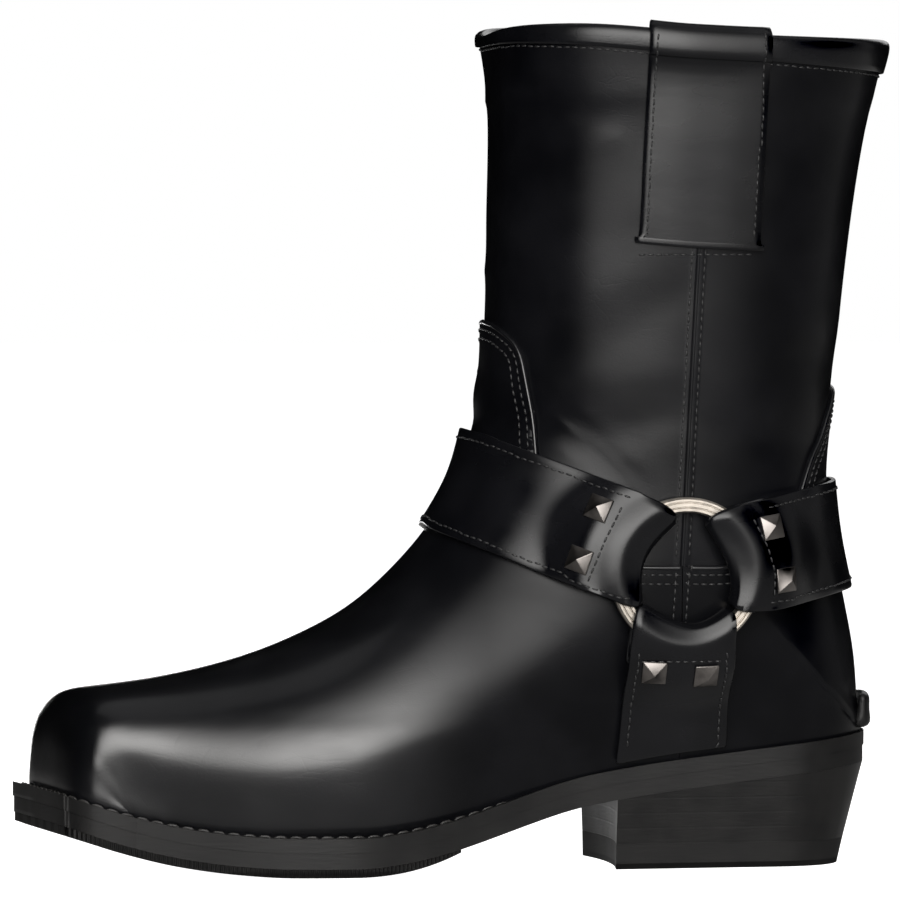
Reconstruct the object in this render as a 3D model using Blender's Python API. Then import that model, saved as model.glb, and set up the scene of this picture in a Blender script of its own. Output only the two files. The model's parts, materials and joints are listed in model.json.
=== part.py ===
"""Square-toe harness boot for the left foot, standing empty on its sole.

The toe points along -X, the outer side of the foot faces -Y and +Z is up.
All lengths are in metres. The floor is z = 0.
"""

import math
from collections import namedtuple

import bpy
import numpy as np
from mathutils.bvhtree import BVHTree

# Last
LAST_LENGTH = 0.2938
BALL_WIDTH = 0.102
INSTEP_HEIGHT = 0.0995
COLLAR_HEIGHT = 0.266
HEEL_SEAT_RISE = 0.033
TOE_SPRING = 0.0178
SWING_ANGLE = math.radians(8.0)
SWING_SHARE = 0.53
BACK_ROUND_SEAT = 0.034
BACK_ROUND_COLLAR = 0.060
BACK_ROUND_POWER = 2.15
COLLAR_DIP = 0.0041
BACK_OVERHANG = 0.0083
MIDDLE = 0.5 * (LAST_LENGTH + BACK_OVERHANG)
AXIS_X = 0.7723 * LAST_LENGTH - MIDDLE
AXIS_Y = 0.00002

# Leather, sole layers and clearances
GAP = 0.0003
OVERLAY_GAP = 0.0004
SEAT_GAP = 0.0005
UPPER_WALL = 0.0022
OVERLAY_LEATHER = 0.0013
WELT_THICKNESS = 0.0050
OUTSOLE_THICKNESS = 0.0053
HALF_SOLE_THICKNESS = 0.0027
INSOLE_THICKNESS = 0.0030
INSOLE_CLEARANCE = 0.0014
WELT_MARGIN_TOE = 0.0062
WELT_MARGIN_HEEL = 0.0028
OUTSOLE_SET_IN = 0.0004
HALF_SOLE_SET_IN = 0.0008

# Heel
HEEL_LIFT_THICKNESS = 0.0086
HEEL_LENGTH = 0.0960
HEEL_BACK_SLOPE = 0.27
HEEL_SIDE_TAPER = 0.10
BREAST_HOLLOW = 0.0032

# Collar binding and pull straps
BINDING_LEATHER = 0.0013
BINDING_HEIGHT = 0.0078
BINDING_SHOULDER = 0.0024
BINDING_EDGE = 0.0014
PULL_LEATHER = 0.0018
PULL_WIDTH = 0.042
PULL_OUTSIDE = 0.0745
PULL_INSIDE = 0.038
PULL_RISE = 0.0030
PULL_X_TOP = 0.7818 * LAST_LENGTH - MIDDLE
PULL_X_BOTTOM = 0.7706 * LAST_LENGTH - MIDDLE
PULL_LIP_WIDTH = 0.0012
PULL_LIP_HEIGHT = 0.0024
LINING_GAP = 0.0006

# Harness straps, rings and studs
HARNESS_LEATHER = 0.0019
HARNESS_CLEARANCE = 0.0008
RING_X = 0.7529 * LAST_LENGTH - MIDDLE
RING_HEIGHT = 0.3910 * COLLAR_HEIGHT
RING_RADIUS = 0.0267
RING_BAND = 0.0053
RING_THICKNESS = 0.0035
RING_CHAMFER = 0.0009
RING_HOLD = 0.0285
RING_FREE = 0.0500
TAIL_END = 0.0340
TAIL_FADE = 0.0100
SIDE_STRAP_TAIL = 0.34
STUD_SIZE = 0.0086
STUD_RIM = 0.0006
STUD_RISE = 0.0026
STUD_FEET = (-1.0, -0.5, 0.0, 0.5, 1.0)

# Heel ledge
LEDGE_THICKNESS = 0.0020
LEDGE_RISE = 0.0024
LEDGE_HEIGHT = 0.0100
LEDGE_ANGLE = math.radians(14)

# Mesh density
FOOT_ROWS = 26
SHAFT_ROWS = 12
COLUMNS = 20
DENSE_ROWS = 8
QUARTER_STEPS = 60
COLLAR_FADE_STATIONS = 3.0
DENSE_COLUMNS = 128
SOLE_RUNGS = 45
SOLE_ACROSS = 1
HEEL_RUNGS = 15
HEEL_ACROSS = 4
HOLLOW_RUNGS = 4
RUNG_SPACING = 0.012
RUNG_TURN = math.radians(14)
FAN_STEPS = 20
SMALLEST = 1e-9
EDGE_STATION = 0.5
EDGE_SHARE = 0.03
FAN_INNER = 0.008
FAN_OUTER = 0.300
VAMP_ROWS = 2
COUNTER_ROWS_BELOW = 8
COUNTER_ROWS = 7
STRAP_ROWS = 11
SIDE_ROWS = 6
FOLD_ROWS = 4
TAIL_ROWS = 3
RING_STEPS = 28
LEDGE_ROWS = 6
LEDGE_STEPS = 3
CUFF_STEPS = 4
TURN_STEPS = 5
TAIL_STEPS = 3
PULL_ACROSS = 5
SHARP_ANGLE = math.radians(35)
HEEL_AHEAD = 4
TIP_BEND = 3
SIDE_BEND = 0.5

# Places along the sole, in shares of the last's length, and the flats that its outline keeps
WAIST_START = 0.35
WAIST_END = 0.62
HALF_SOLE_END = 0.487
HALF_SOLE_BEVEL = 0.049
HALF_SOLE_EDGE = 0.25
CORNER_DEPTH = 0.05
FRONT_FLAT = 0.66
HEEL_FLAT = 0.0030

# Each section of the upper runs from a back point on the seat line or the back of the shaft to a front
# point on the ridge of the vamp or the front of the shaft.
# back and front are shares of the last's length from the toe. back_rise and front_rise are heights over
# the seat line, in shares of the instep height on the foot and of the collar height on the shaft.
# out and inn are the greatest half widths, seat_out and seat_in those at the back point before the heel is
# rounded, as shares of the ball width. belly is where the section is widest, as a share of its length, and
# low and high are the exponents of its lower and upper quarters.
Section = namedtuple(
    "Section",
    "back back_rise front front_rise out inn seat_out seat_in belly low high",
)

FOOT_SECTIONS = (
    Section(0.092, 0.000, 0.022, 0.000, 0.330, 0.330, 0.322, 0.322, 0.36, 1.6, 4.2),
    Section(0.094, 0.000, 0.024, 0.148, 0.333, 0.333, 0.324, 0.324, 0.38, 1.6, 4.2),
    Section(0.098, 0.000, 0.029, 0.245, 0.334, 0.334, 0.326, 0.326, 0.40, 1.6, 3.9),
    Section(0.104, 0.000, 0.037, 0.312, 0.336, 0.336, 0.329, 0.329, 0.42, 1.5, 3.5),
    Section(0.113, 0.000, 0.054, 0.370, 0.340, 0.340, 0.332, 0.332, 0.44, 1.5, 3.1),
    Section(0.130, 0.000, 0.086, 0.412, 0.352, 0.354, 0.340, 0.342, 0.44, 1.4, 2.8),
    Section(0.163, 0.000, 0.137, 0.466, 0.380, 0.386, 0.360, 0.368, 0.40, 1.4, 2.5),
    Section(0.210, 0.000, 0.200, 0.527, 0.425, 0.436, 0.394, 0.408, 0.37, 1.3, 2.3),
    Section(0.268, 0.000, 0.266, 0.593, 0.470, 0.484, 0.426, 0.442, 0.35, 1.3, 2.2),
    Section(0.339, 0.000, 0.327, 0.668, 0.496, 0.490, 0.440, 0.430, 0.34, 1.3, 2.1),
    Section(0.424, 0.000, 0.385, 0.760, 0.486, 0.460, 0.410, 0.366, 0.36, 1.3, 2.05),
    Section(0.526, 0.000, 0.434, 0.870, 0.462, 0.432, 0.360, 0.305, 0.38, 1.25, 2.0),
    Section(0.645, 0.000, 0.479, 0.996, 0.444, 0.420, 0.322, 0.288, 0.41, 1.2, 2.0),
)
SHAFT_SECTIONS = (
    Section(0.764, 0.000, 0.513, 0.429, 0.440, 0.424, 0.311, 0.297, 0.46, 1.2, 2.0),
    Section(0.873, 0.000, 0.530, 0.488, 0.442, 0.430, 0.308, 0.301, 0.50, 1.2, 2.05),
    Section(0.948, 0.000, 0.536, 0.534, 0.444, 0.436, 0.307, 0.303, 0.52, 1.25, 2.1),
    Section(0.985, 0.000, 0.539, 0.574, 0.446, 0.441, 0.307, 0.304, 0.53, 1.3, 2.1),
    Section(0.996, 0.000, 0.540, 0.607, 0.448, 0.444, 0.308, 0.306, 0.54, 1.35, 2.1),
    Section(0.996, 0.073, 0.542, 0.641, 0.450, 0.447, 0.314, 0.312, 0.54, 1.4, 2.15),
    Section(0.987, 0.131, 0.543, 0.674, 0.452, 0.450, 0.322, 0.320, 0.54, 1.5, 2.2),
    Section(0.976, 0.192, 0.544, 0.711, 0.455, 0.453, 0.334, 0.333, 0.53, 1.6, 2.2),
    Section(0.961, 0.277, 0.545, 0.754, 0.459, 0.458, 0.352, 0.352, 0.53, 1.7, 2.2),
    Section(0.955, 0.345, 0.546, 0.793, 0.463, 0.463, 0.372, 0.372, 0.52, 1.8, 2.2),
    Section(0.961, 0.408, 0.547, 0.831, 0.469, 0.469, 0.392, 0.392, 0.52, 1.8, 2.2),
    Section(0.970, 0.488, 0.548, 0.870, 0.476, 0.476, 0.412, 0.412, 0.51, 1.8, 2.25),
    Section(0.980, 0.582, 0.548, 0.903, 0.484, 0.484, 0.432, 0.432, 0.51, 1.8, 2.3),
    Section(0.991, 0.686, 0.548, 0.936, 0.493, 0.493, 0.450, 0.450, 0.50, 1.8, 2.3),
    Section(1.006, 0.787, 0.545, 0.963, 0.502, 0.502, 0.466, 0.466, 0.50, 1.8, 2.35),
    Section(1.022, 0.870, 0.542, 0.986, 0.509, 0.509, 0.478, 0.478, 0.50, 1.8, 2.4),
    Section(1.032, 0.910, 0.541, 1.000, 0.513, 0.513, 0.484, 0.484, 0.50, 1.8, 2.4),
)

HEEL_STATION = len(FOOT_SECTIONS) + HEEL_AHEAD

# The collar's edge rises toward the front quarter: the place from the front to the back of the shaft and
# the share of the collar's dip.
CollarRow = namedtuple("CollarRow", "around lift")
COLLAR_LINE = (
    CollarRow(0.00, 0.00),
    CollarRow(0.10, 0.60),
    CollarRow(0.20, 0.93),
    CollarRow(0.28, 1.00),
    CollarRow(0.37, 0.78),
    CollarRow(0.45, 0.46),
    CollarRow(0.64, 0.17),
    CollarRow(1.00, 0.00),
)

# The seat line's height: the share of the toe spring and of the heel's rise along the last.
SeatRow = namedtuple("SeatRow", "along spring rise")
SEAT_LINE = (
    SeatRow(-0.030, 1.06, 0.00),
    SeatRow(0.000, 0.86, 0.00),
    SeatRow(0.040, 0.63, 0.00),
    SeatRow(0.080, 0.43, 0.00),
    SeatRow(0.150, 0.175, 0.00),
    SeatRow(0.220, 0.045, 0.00),
    SeatRow(0.280, 0.000, 0.00),
    SeatRow(0.360, 0.000, 0.00),
    SeatRow(0.450, 0.000, 0.095),
    SeatRow(0.497, 0.000, 0.200),
    SeatRow(0.544, 0.000, 0.330),
    SeatRow(0.627, 0.000, 0.555),
    SeatRow(0.683, 0.000, 0.655),
    SeatRow(0.829, 0.000, 0.825),
    SeatRow(1.020, 0.000, 1.010),
)

# Edge of the vamp and of the counter: the angle from the front, in degrees, and the height in shares of
# the collar height.
EdgeRow = namedtuple("EdgeRow", "angle height")
VAMP_EDGE = (
    EdgeRow(0.0, 0.720),
    EdgeRow(10.3, 0.714),
    EdgeRow(16.4, 0.704),
    EdgeRow(20.7, 0.692),
    EdgeRow(23.8, 0.672),
    EdgeRow(26.2, 0.631),
    EdgeRow(30.8, 0.546),
    EdgeRow(36.0, 0.451),
    EdgeRow(42.0, 0.417),
    EdgeRow(52.0, 0.404),
    EdgeRow(66.0, 0.401),
    EdgeRow(82.5, 0.400),
)
COUNTER_EDGE = (
    EdgeRow(82.5, 0.400),
    EdgeRow(105.0, 0.401),
    EdgeRow(122.0, 0.414),
    EdgeRow(131.0, 0.446),
    EdgeRow(139.4, 0.502),
    EdgeRow(145.1, 0.535),
    EdgeRow(154.0, 0.567),
    EdgeRow(160.9, 0.600),
    EdgeRow(170.0, 0.624),
    EdgeRow(180.0, 0.632),
)

# Edges of the harness straps: the angle from the front, in degrees, and the heights of the upper and lower
# edge in shares of the collar height.
StrapRow = namedtuple("StrapRow", "angle top bottom")
FRONT_STRAP = (
    StrapRow(0.0, 0.573, 0.446),
    StrapRow(12.0, 0.569, 0.435),
    StrapRow(24.0, 0.555, 0.417),
    StrapRow(37.7, 0.535, 0.388),
    StrapRow(54.7, 0.510, 0.355),
    StrapRow(65.2, 0.496, 0.342),
    StrapRow(77.9, 0.472, 0.342),
)
BACK_STRAP = (
    StrapRow(96.0, 0.464, 0.339),
    StrapRow(101.5, 0.473, 0.336),
    StrapRow(114.3, 0.484, 0.337),
    StrapRow(132.8, 0.495, 0.349),
    StrapRow(155.0, 0.504, 0.361),
    StrapRow(180.0, 0.507, 0.366),
)

# Where each strap folds round a ring, at its two edges and its middle: the angle about the ring from the
# back of the boot, in degrees, and the distance from the ring's centre as a share of its radius.
FoldRow = namedtuple("FoldRow", "turn reach")
FRONT_FOLD = (FoldRow(104.6, 0.813), FoldRow(161.0, 0.723), FoldRow(208.5, 0.813))
BACK_FOLD = (FoldRow(65.7, 0.813), FoldRow(5.7, 0.719), FoldRow(326.5, 0.813))
SIDE_FOLD = (FoldRow(215.5, 0.813), FoldRow(273.5, 0.790), FoldRow(317.5, 0.813))

# Lower end of a side strap: its two edges and its middle in shares of the last's length, and its height
# over the seat line.
SIDE_STRAP_END = (0.6790, 0.7440, 0.8095)
SIDE_STRAP_RISE = 0.0042

# Studs on each side: the strap, the place along it toward the ring and across it from its upper or front
# edge, both in shares, and the turn in degrees.
StudRow = namedtuple("StudRow", "strap along across turn")
STUDS = (
    StudRow("front", 0.720, 0.25, -25.0),
    StudRow("front", 0.725, 0.76, -19.0),
    StudRow("back", 0.765, 0.23, 12.0),
    StudRow("back", 0.752, 0.73, 4.0),
    StudRow("side", 0.638, 0.22, 0.0),
    StudRow("side", 0.618, 0.72, 0.0),
)

Finish = namedtuple("Finish", "colour roughness metallic")
BLACK_LEATHER = Finish((0.012, 0.012, 0.014), 0.28, 0.0)
EDGE_LEATHER = Finish((0.020, 0.020, 0.021), 0.55, 0.0)
SOLE_RUBBER = Finish((0.022, 0.022, 0.023), 0.75, 0.0)
INSOLE_BOARD = Finish((0.040, 0.036, 0.033), 0.70, 0.0)
RING_NICKEL = Finish((0.62, 0.58, 0.53), 0.30, 1.0)
STUD_METAL = Finish((0.20, 0.18, 0.17), 0.38, 1.0)


def clear_scene():
    """Remove every object the scene starts with."""
    for item in list(bpy.data.objects):
        bpy.data.objects.remove(item, do_unlink=True)


def smooth_curve(knots, values, at):
    """A monotone cubic through the knots, read at the places given."""
    knots = np.asarray(knots, float)
    values = np.asarray(values, float)
    at = np.clip(np.asarray(at, float), knots[0], knots[-1])
    steps = np.diff(knots)
    slopes = np.diff(values) / steps
    tangents = np.zeros(len(knots))
    tangents[0] = slopes[0]
    tangents[-1] = slopes[-1]
    same_way = slopes[:-1] * slopes[1:] > 0
    before = 2 * steps[1:] + steps[:-1]
    after = steps[1:] + 2 * steps[:-1]
    safe_first = np.where(same_way, slopes[:-1], 1.0)
    safe_second = np.where(same_way, slopes[1:], 1.0)
    mean = (before + after) / (before / safe_first + after / safe_second)
    tangents[1:-1] = np.where(same_way, mean, 0.0)
    span = np.clip(np.searchsorted(knots, at, side="right") - 1, 0, len(steps) - 1)
    t = (at - knots[span]) / steps[span]
    low = values[span]
    high = values[span + 1]
    rise = tangents[span] * steps[span]
    fall = tangents[span + 1] * steps[span]
    return (
        (2 * t**3 - 3 * t**2 + 1) * low
        + (t**3 - 2 * t**2 + t) * rise
        + (3 * t**2 - 2 * t**3) * high
        + (t**3 - t**2) * fall
    )


def seat_height(along):
    """Height of the welt's top over the floor at a share of the last's length."""
    knots = [row.along for row in SEAT_LINE]
    spring = smooth_curve(knots, [row.spring for row in SEAT_LINE], along)
    rise = smooth_curve(knots, [row.rise for row in SEAT_LINE], along)
    layers = WELT_THICKNESS + OUTSOLE_THICKNESS + HALF_SOLE_THICKNESS + 2 * GAP
    return layers + TOE_SPRING * spring + HEEL_SEAT_RISE * rise


def swing(points):
    """Turn the forepart toward the inner side, along an arc, as the last does.

    The points come with X as a length from the toe and leave with the origin under the middle.
    """
    points = np.asarray(points, float)
    start = SWING_SHARE * LAST_LENGTH
    curvature = SWING_ANGLE / start
    ahead = np.maximum(start - points[..., 0], 0.0)
    behind = np.maximum(points[..., 0] - start, 0.0)
    turn = curvature * ahead
    x = start - np.sin(turn) / curvature - points[..., 1] * np.sin(turn) + behind
    y = (1 - np.cos(turn)) / curvature + points[..., 1] * np.cos(turn)
    return np.stack([x - MIDDLE, y, points[..., 2]], axis=-1)


def station_table():
    """Every section's columns in metres, as arrays."""
    table = {}
    rows = FOOT_SECTIONS + SHAFT_SECTIONS
    rise_unit = [INSTEP_HEIGHT] * len(FOOT_SECTIONS) + [COLLAR_HEIGHT] * len(SHAFT_SECTIONS)
    table["back_x"] = np.array([row.back * LAST_LENGTH for row in rows])
    table["front_x"] = np.array([row.front * LAST_LENGTH for row in rows])
    seat_back = seat_height(np.minimum([row.back for row in rows], 1.0)) + SEAT_GAP
    seat_front = seat_height([row.front for row in rows]) + SEAT_GAP
    table["back_z"] = seat_back + np.array([row.back_rise * unit for row, unit in zip(rows, rise_unit)])
    table["front_z"] = seat_front + np.array(
        [row.front_rise * unit for row, unit in zip(rows, rise_unit)]
    )
    for name in ("out", "inn", "seat_out", "seat_in"):
        table[name] = np.array([getattr(row, name) * BALL_WIDTH for row in rows])
    for name in ("belly", "low", "high"):
        table[name] = np.array([getattr(row, name) for row in rows])
    return table


def half_section(width, seat, length, belly, low, high):
    """One half of a section, from its back point to its front: half widths and places along it."""
    quarter = np.linspace(0.0, math.pi / 2, QUARTER_STEPS)
    sine = np.sin(quarter)
    cosine = np.clip(np.cos(quarter), 0.0, 1.0)
    middle = belly * length
    low_w = seat + (width - seat) * sine ** (2 / low)
    low_h = middle * (1 - cosine ** (2 / low))
    high_w = width * cosine ** (2 / high)
    high_h = middle + (length - middle) * sine ** (2 / high)
    return np.concatenate([low_w, high_w[1:]]), np.concatenate([low_h, high_h[1:]])


def heel_rounding(x, z, line):
    """Share of the half width that the rounded back leaves at a place. line is the back's own profile."""
    back = np.interp(z, line[1], line[0])
    height = np.clip((z - line[1][0]) / COLLAR_HEIGHT, 0, 1)
    reach = BACK_ROUND_SEAT + (BACK_ROUND_COLLAR - BACK_ROUND_SEAT) * height
    inside = np.clip((back - x) / reach, 0, 1)
    return (1 - (1 - inside) ** BACK_ROUND_POWER) ** (1 / BACK_ROUND_POWER)


def upper_form():
    """The upper's outer surface as a dense net of points: rows from toe to collar, columns from the
    outer side over the front to the inner side."""
    table = station_table()
    count = len(table["out"])
    places = np.linspace(0, count - 1, (count - 1) * DENSE_ROWS + 1)
    knots = np.arange(count)
    at = {name: smooth_curve(knots, column, places) for name, column in table.items()}
    closed = places >= HEEL_STATION
    back_line = (at["back_x"][closed], at["back_z"][closed])
    shares = np.linspace(0, 1, DENSE_COLUMNS // 2 + 1)
    collar_shape = smooth_curve(
        [row.around for row in COLLAR_LINE], [row.lift for row in COLLAR_LINE], 1 - shares
    )
    net = []
    for i in range(len(places)):
        back = np.array([at["back_x"][i], at["back_z"][i]])
        front = np.array([at["front_x"][i], at["front_z"][i]])
        length = float(np.hypot(*(front - back)))
        along = (front - back) / length
        fade = max(0.0, 1 - (count - 1 - places[i]) / COLLAR_FADE_STATIONS) ** 2
        row = []
        for side, width, seat in ((-1, "out", "seat_out"), (1, "inn", "seat_in")):
            w, h = half_section(
                at[width][i], at[seat][i], length, at["belly"][i], at["low"][i], at["high"][i]
            )
            xz = back + h[:, None] * along
            w = w * heel_rounding(xz[:, 0], xz[:, 1], back_line)
            reach = np.concatenate([[0.0], np.cumsum(np.hypot(np.diff(w), np.diff(h)))])
            wanted = shares * reach[-1]
            x = np.interp(wanted, reach, xz[:, 0])
            y = side * np.interp(wanted, reach, w)
            z = np.interp(wanted, reach, xz[:, 1]) + COLLAR_DIP * fade * collar_shape
            row.append(np.stack([x, y, z], axis=1))
        net.append(np.concatenate([row[0], row[1][::-1][1:]]))
    return np.array(net)


class Form:
    """The upper's outer surface, read at any station and any share of the way round."""

    def __init__(self):
        self.straight = upper_form()
        self.net = swing(self.straight)
        self.rows = self.net.shape[0] - 1
        self.last_station = self.rows / DENSE_ROWS
        self.heel_station = float(HEEL_STATION)
        self.rim_station = float(self.station_below(GAP + BINDING_LEATHER))
        along = np.gradient(self.net, axis=0)
        around = np.gradient(self.net, axis=1)
        normal = np.cross(along, around)
        size = np.linalg.norm(normal, axis=2, keepdims=True)
        self.normals = normal / np.maximum(size, SMALLEST)

    def station_below(self, depth):
        """The station that lies a depth under the collar's edge."""
        heights = self.net[:, DENSE_COLUMNS // 4, 2]
        places = np.arange(self.rows + 1) / DENSE_ROWS
        shaft = places > self.heel_station
        return np.interp(heights[-1] - depth, heights[shaft], places[shaft])

    def read(self, net, station, share):
        """Bilinear reading of one of the nets."""
        r = np.clip(np.asarray(station, float) * DENSE_ROWS, 0, self.rows)
        c = np.clip(np.asarray(share, float) * DENSE_COLUMNS, 0, DENSE_COLUMNS)
        r0 = np.minimum(r.astype(int), self.rows - 1)
        c0 = np.minimum(c.astype(int), DENSE_COLUMNS - 1)
        fr = (r - r0)[..., None]
        fc = (c - c0)[..., None]
        top = net[r0, c0] * (1 - fc) + net[r0, c0 + 1] * fc
        low = net[r0 + 1, c0] * (1 - fc) + net[r0 + 1, c0 + 1] * fc
        return top * (1 - fr) + low * fr

    def point(self, station, share, out=0.0):
        """A point of the surface, moved out along its normal."""
        base = self.read(self.net, station, share)
        normal = self.read(self.normals, station, share)
        normal = normal / np.maximum(np.linalg.norm(normal, axis=-1, keepdims=True), SMALLEST)
        return base + normal * np.asarray(out)[..., None]



def add_mesh(name, vertices, faces, finish):
    """Make one named object from points and faces, facing out, with its own material."""
    points = np.array(vertices, float)
    volume = 0.0
    for face in faces:
        for k in range(1, len(face) - 1):
            corner = points[[face[0], face[k], face[k + 1]]]
            volume += np.dot(corner[0], np.cross(corner[1], corner[2]))
    if volume < 0:
        faces = [face[::-1] for face in faces]
    mesh = bpy.data.meshes.new(name)
    mesh.from_pydata([tuple(map(float, point)) for point in vertices], [], faces)
    mesh.validate()
    mesh.update()
    for polygon in mesh.polygons:
        polygon.use_smooth = True
    mesh.set_sharp_from_angle(angle=SHARP_ANGLE)
    item = bpy.data.objects.new(name, mesh)
    bpy.context.scene.collection.objects.link(item)
    item.data.materials.append(material(name, finish))
    return item


def material(name, finish):
    """A Principled material with the part's colour, roughness and metallic value."""
    made = bpy.data.materials.new(name)
    made.use_nodes = True
    shader = made.node_tree.nodes["Principled BSDF"]
    shader.inputs["Base Color"].default_value = (*finish.colour, 1.0)
    shader.inputs["Roughness"].default_value = finish.roughness
    shader.inputs["Metallic"].default_value = finish.metallic
    return made


def level_step(moves, distance):
    """The moves turned level, each a given distance long."""
    flat = moves * (1.0, 1.0, 0.0)
    size = np.linalg.norm(flat, axis=-1, keepdims=True)
    return flat / np.maximum(size, SMALLEST) * distance


def shell(name, form, first, last, low, high, finish):
    """A hollow skin on the upper's own net, between two distances from its outer surface.

    first and last are rows of the net. From the heel's row up the skin is joined at the back.
    """
    foot_stations = np.linspace(0, form.heel_station, FOOT_ROWS + 1)
    shaft_stations = np.linspace(form.heel_station, form.rim_station, SHAFT_ROWS + 1)
    stations = np.concatenate([foot_stations, shaft_stations[1:]])[first : last + 1]
    rows = len(stations) - 1
    closed_from = FOOT_ROWS - first
    shares = np.linspace(0, 1, COLUMNS + 1)
    grid_s, grid_v = np.meshgrid(stations, shares, indexing="ij")
    base = form.point(grid_s, grid_v)
    lift = SEAT_GAP if low > 0 else 0.0
    inside = (np.maximum(grid_s, EDGE_STATION), np.clip(grid_v, EDGE_SHARE, 1 - EDGE_SHARE))
    facing = form.point(*inside, np.full(grid_s.shape, GAP)) - form.point(*inside)
    skins = []
    for distance in (high, low):
        skin = form.point(grid_s, grid_v, np.full(grid_s.shape, distance))
        level = base + level_step(facing, distance + lift) + (0.0, 0.0, lift)
        skin[: closed_from + 1, (0, -1)] = level[: closed_from + 1, (0, -1)]
        if first == 0:
            skin[0] = level[0]
        if last == FOOT_ROWS + SHAFT_ROWS:
            skin[-1] = level[-1]
        skins.append(skin)
    vertices = []
    index = {}

    def vertex(layer, i, j):
        """Number of a point, one for both edges of the closed back."""
        if i >= closed_from and j == COLUMNS:
            j = 0
        key = (layer, i, j)
        if key not in index:
            index[key] = len(vertices)
            vertices.append(skins[layer][i, j])
        return index[key]

    faces = []
    for i in range(rows):
        for j in range(COLUMNS):
            a, b, c, d = (i, j), (i + 1, j), (i + 1, j + 1), (i, j + 1)
            shorter = np.linalg.norm(base[c] - base[a]) < np.linalg.norm(base[d] - base[b])
            halves = ((a, b, c), (a, c, d)) if shorter else ((a, b, d), (b, c, d))
            for half in halves:
                faces.append([vertex(0, *corner) for corner in half])
                faces.append([vertex(1, *corner) for corner in reversed(half)])
    for j in range(COLUMNS):
        faces.append([vertex(0, 0, j), vertex(0, 0, j + 1), vertex(1, 0, j + 1), vertex(1, 0, j)])
        faces.append(
            [vertex(0, rows, j + 1), vertex(0, rows, j), vertex(1, rows, j), vertex(1, rows, j + 1)]
        )
    for i in range(min(closed_from, rows)):
        for j in (0, COLUMNS):
            a, b = (i + 1, i) if j == 0 else (i, i + 1)
            faces.append([vertex(0, a, j), vertex(0, b, j), vertex(1, b, j), vertex(1, a, j)])
    clean = []
    for face in faces:
        ring = [number for k, number in enumerate(face) if number != face[k - 1]]
        if len(set(ring)) >= 3:
            clean.append(ring)
    return add_mesh(name, vertices, clean, finish)


def fan(name, table, start, end):
    """A cutter: everything round the boot's standing axis between two angles, on both sides, and under
    the height that the table gives for each angle."""
    knots = [math.radians(row.angle) for row in table]
    heights = [row.height * COLLAR_HEIGHT for row in table]
    half = np.linspace(start, end, FAN_STEPS + 1)
    mirrored = -half if start == 0.0 else 2 * math.pi - half
    angles = np.unique(np.concatenate([mirrored, half]))
    vertices = []
    for angle in angles:
        turn = abs(angle) if angle <= math.pi else 2 * math.pi - angle
        top = float(smooth_curve(knots, heights, turn))
        for radius in (FAN_INNER, FAN_OUTER):
            x = AXIS_X - radius * math.cos(angle)
            y = -radius * math.sin(angle)
            vertices.append((x, y, -FAN_INNER))
            vertices.append((x, y, top))
    faces = [[0, 1, 3, 2]]
    for i in range(len(angles) - 1):
        a = 4 * i
        for j, k in ((0, 1), (1, 3), (3, 2), (2, 0)):
            faces.append([a + j, a + 4 + j, a + 4 + k, a + k])
    a = 4 * (len(angles) - 1)
    faces.append([a + 2, a + 3, a + 1, a])
    cutter = add_mesh(name, vertices, faces, BLACK_LEATHER)
    cutter.hide_render = True
    cutter.display_type = "WIRE"
    return cutter


def keep_inside(item, cutter):
    """Cut an object down to what lies inside the cutter."""
    cut = item.modifiers.new("cut", "BOOLEAN")
    cut.operation = "INTERSECT"
    cut.solver = "EXACT"
    cut.object = cutter


def build_overlays(form):
    """Upper, vamp with its tongue and counter with its back tongue."""
    rows = FOOT_ROWS + SHAFT_ROWS
    shell("upper", form, 0, rows, -UPPER_WALL, 0.0, BLACK_LEATHER)
    outer = OVERLAY_GAP + OVERLAY_LEATHER
    vamp = shell("vamp", form, 0, FOOT_ROWS + VAMP_ROWS, OVERLAY_GAP, outer, BLACK_LEATHER)
    seam = math.radians(VAMP_EDGE[-1].angle)
    keep_inside(vamp, fan("vamp_cutter", VAMP_EDGE, 0.0, seam))
    first = FOOT_ROWS - COUNTER_ROWS_BELOW
    last = FOOT_ROWS + COUNTER_ROWS
    counter = shell("counter", form, first, last, OVERLAY_GAP, outer, BLACK_LEATHER)
    next_seam = seam + GAP / RING_RADIUS
    keep_inside(counter, fan("counter_cutter", COUNTER_EDGE, next_seam, math.pi))


class Skin:
    """The upper's outer surface, met by a ray from inside the boot."""

    def __init__(self, form):
        rows, columns = form.net.shape[:2]
        number = np.arange(rows * columns).reshape(rows, columns)
        corners = (number[:-1, :-1], number[1:, :-1], number[1:, 1:], number[:-1, 1:])
        quads = np.stack(corners, axis=-1).reshape(-1, 4)
        self.columns = columns - 1
        self.normals = form.normals
        self.rim = form.net[-1]
        self.tree = BVHTree.FromPolygons(
            form.net.reshape(-1, 3).tolist(), quads.tolist(), epsilon=AXIS_Y
        )

    def meet(self, origin, direction, out):
        """The point that a ray reaches, moved out along the surface's normal."""
        place, _, face, _ = self.tree.ray_cast(origin, direction)
        row, column = divmod(face, self.columns)
        normal = self.normals[row : row + 2, column : column + 2].mean(axis=(0, 1))
        return np.array(place) + normal / np.linalg.norm(normal) * out

    def around(self, angle, height, out=0.0):
        """A point at an angle from the front, toward the outer side, and a height."""
        return self.meet((AXIS_X, AXIS_Y, height), (-math.cos(angle), -math.sin(angle), 0.0), out)

    def beside(self, x, height, side, out=0.0):
        """A point on one side, at a place along the boot and a height."""
        return self.meet((x, 0.0, height), (0.0, side, 0.0), out)

    def rim_height(self, x, side):
        """Height of the collar's edge at a place on one side."""
        line = self.rim[self.rim[:, 1] * side > 0]
        line = line[np.argsort(line[:, 0])]
        return float(np.interp(x, line[:, 0], line[:, 2]))


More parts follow.
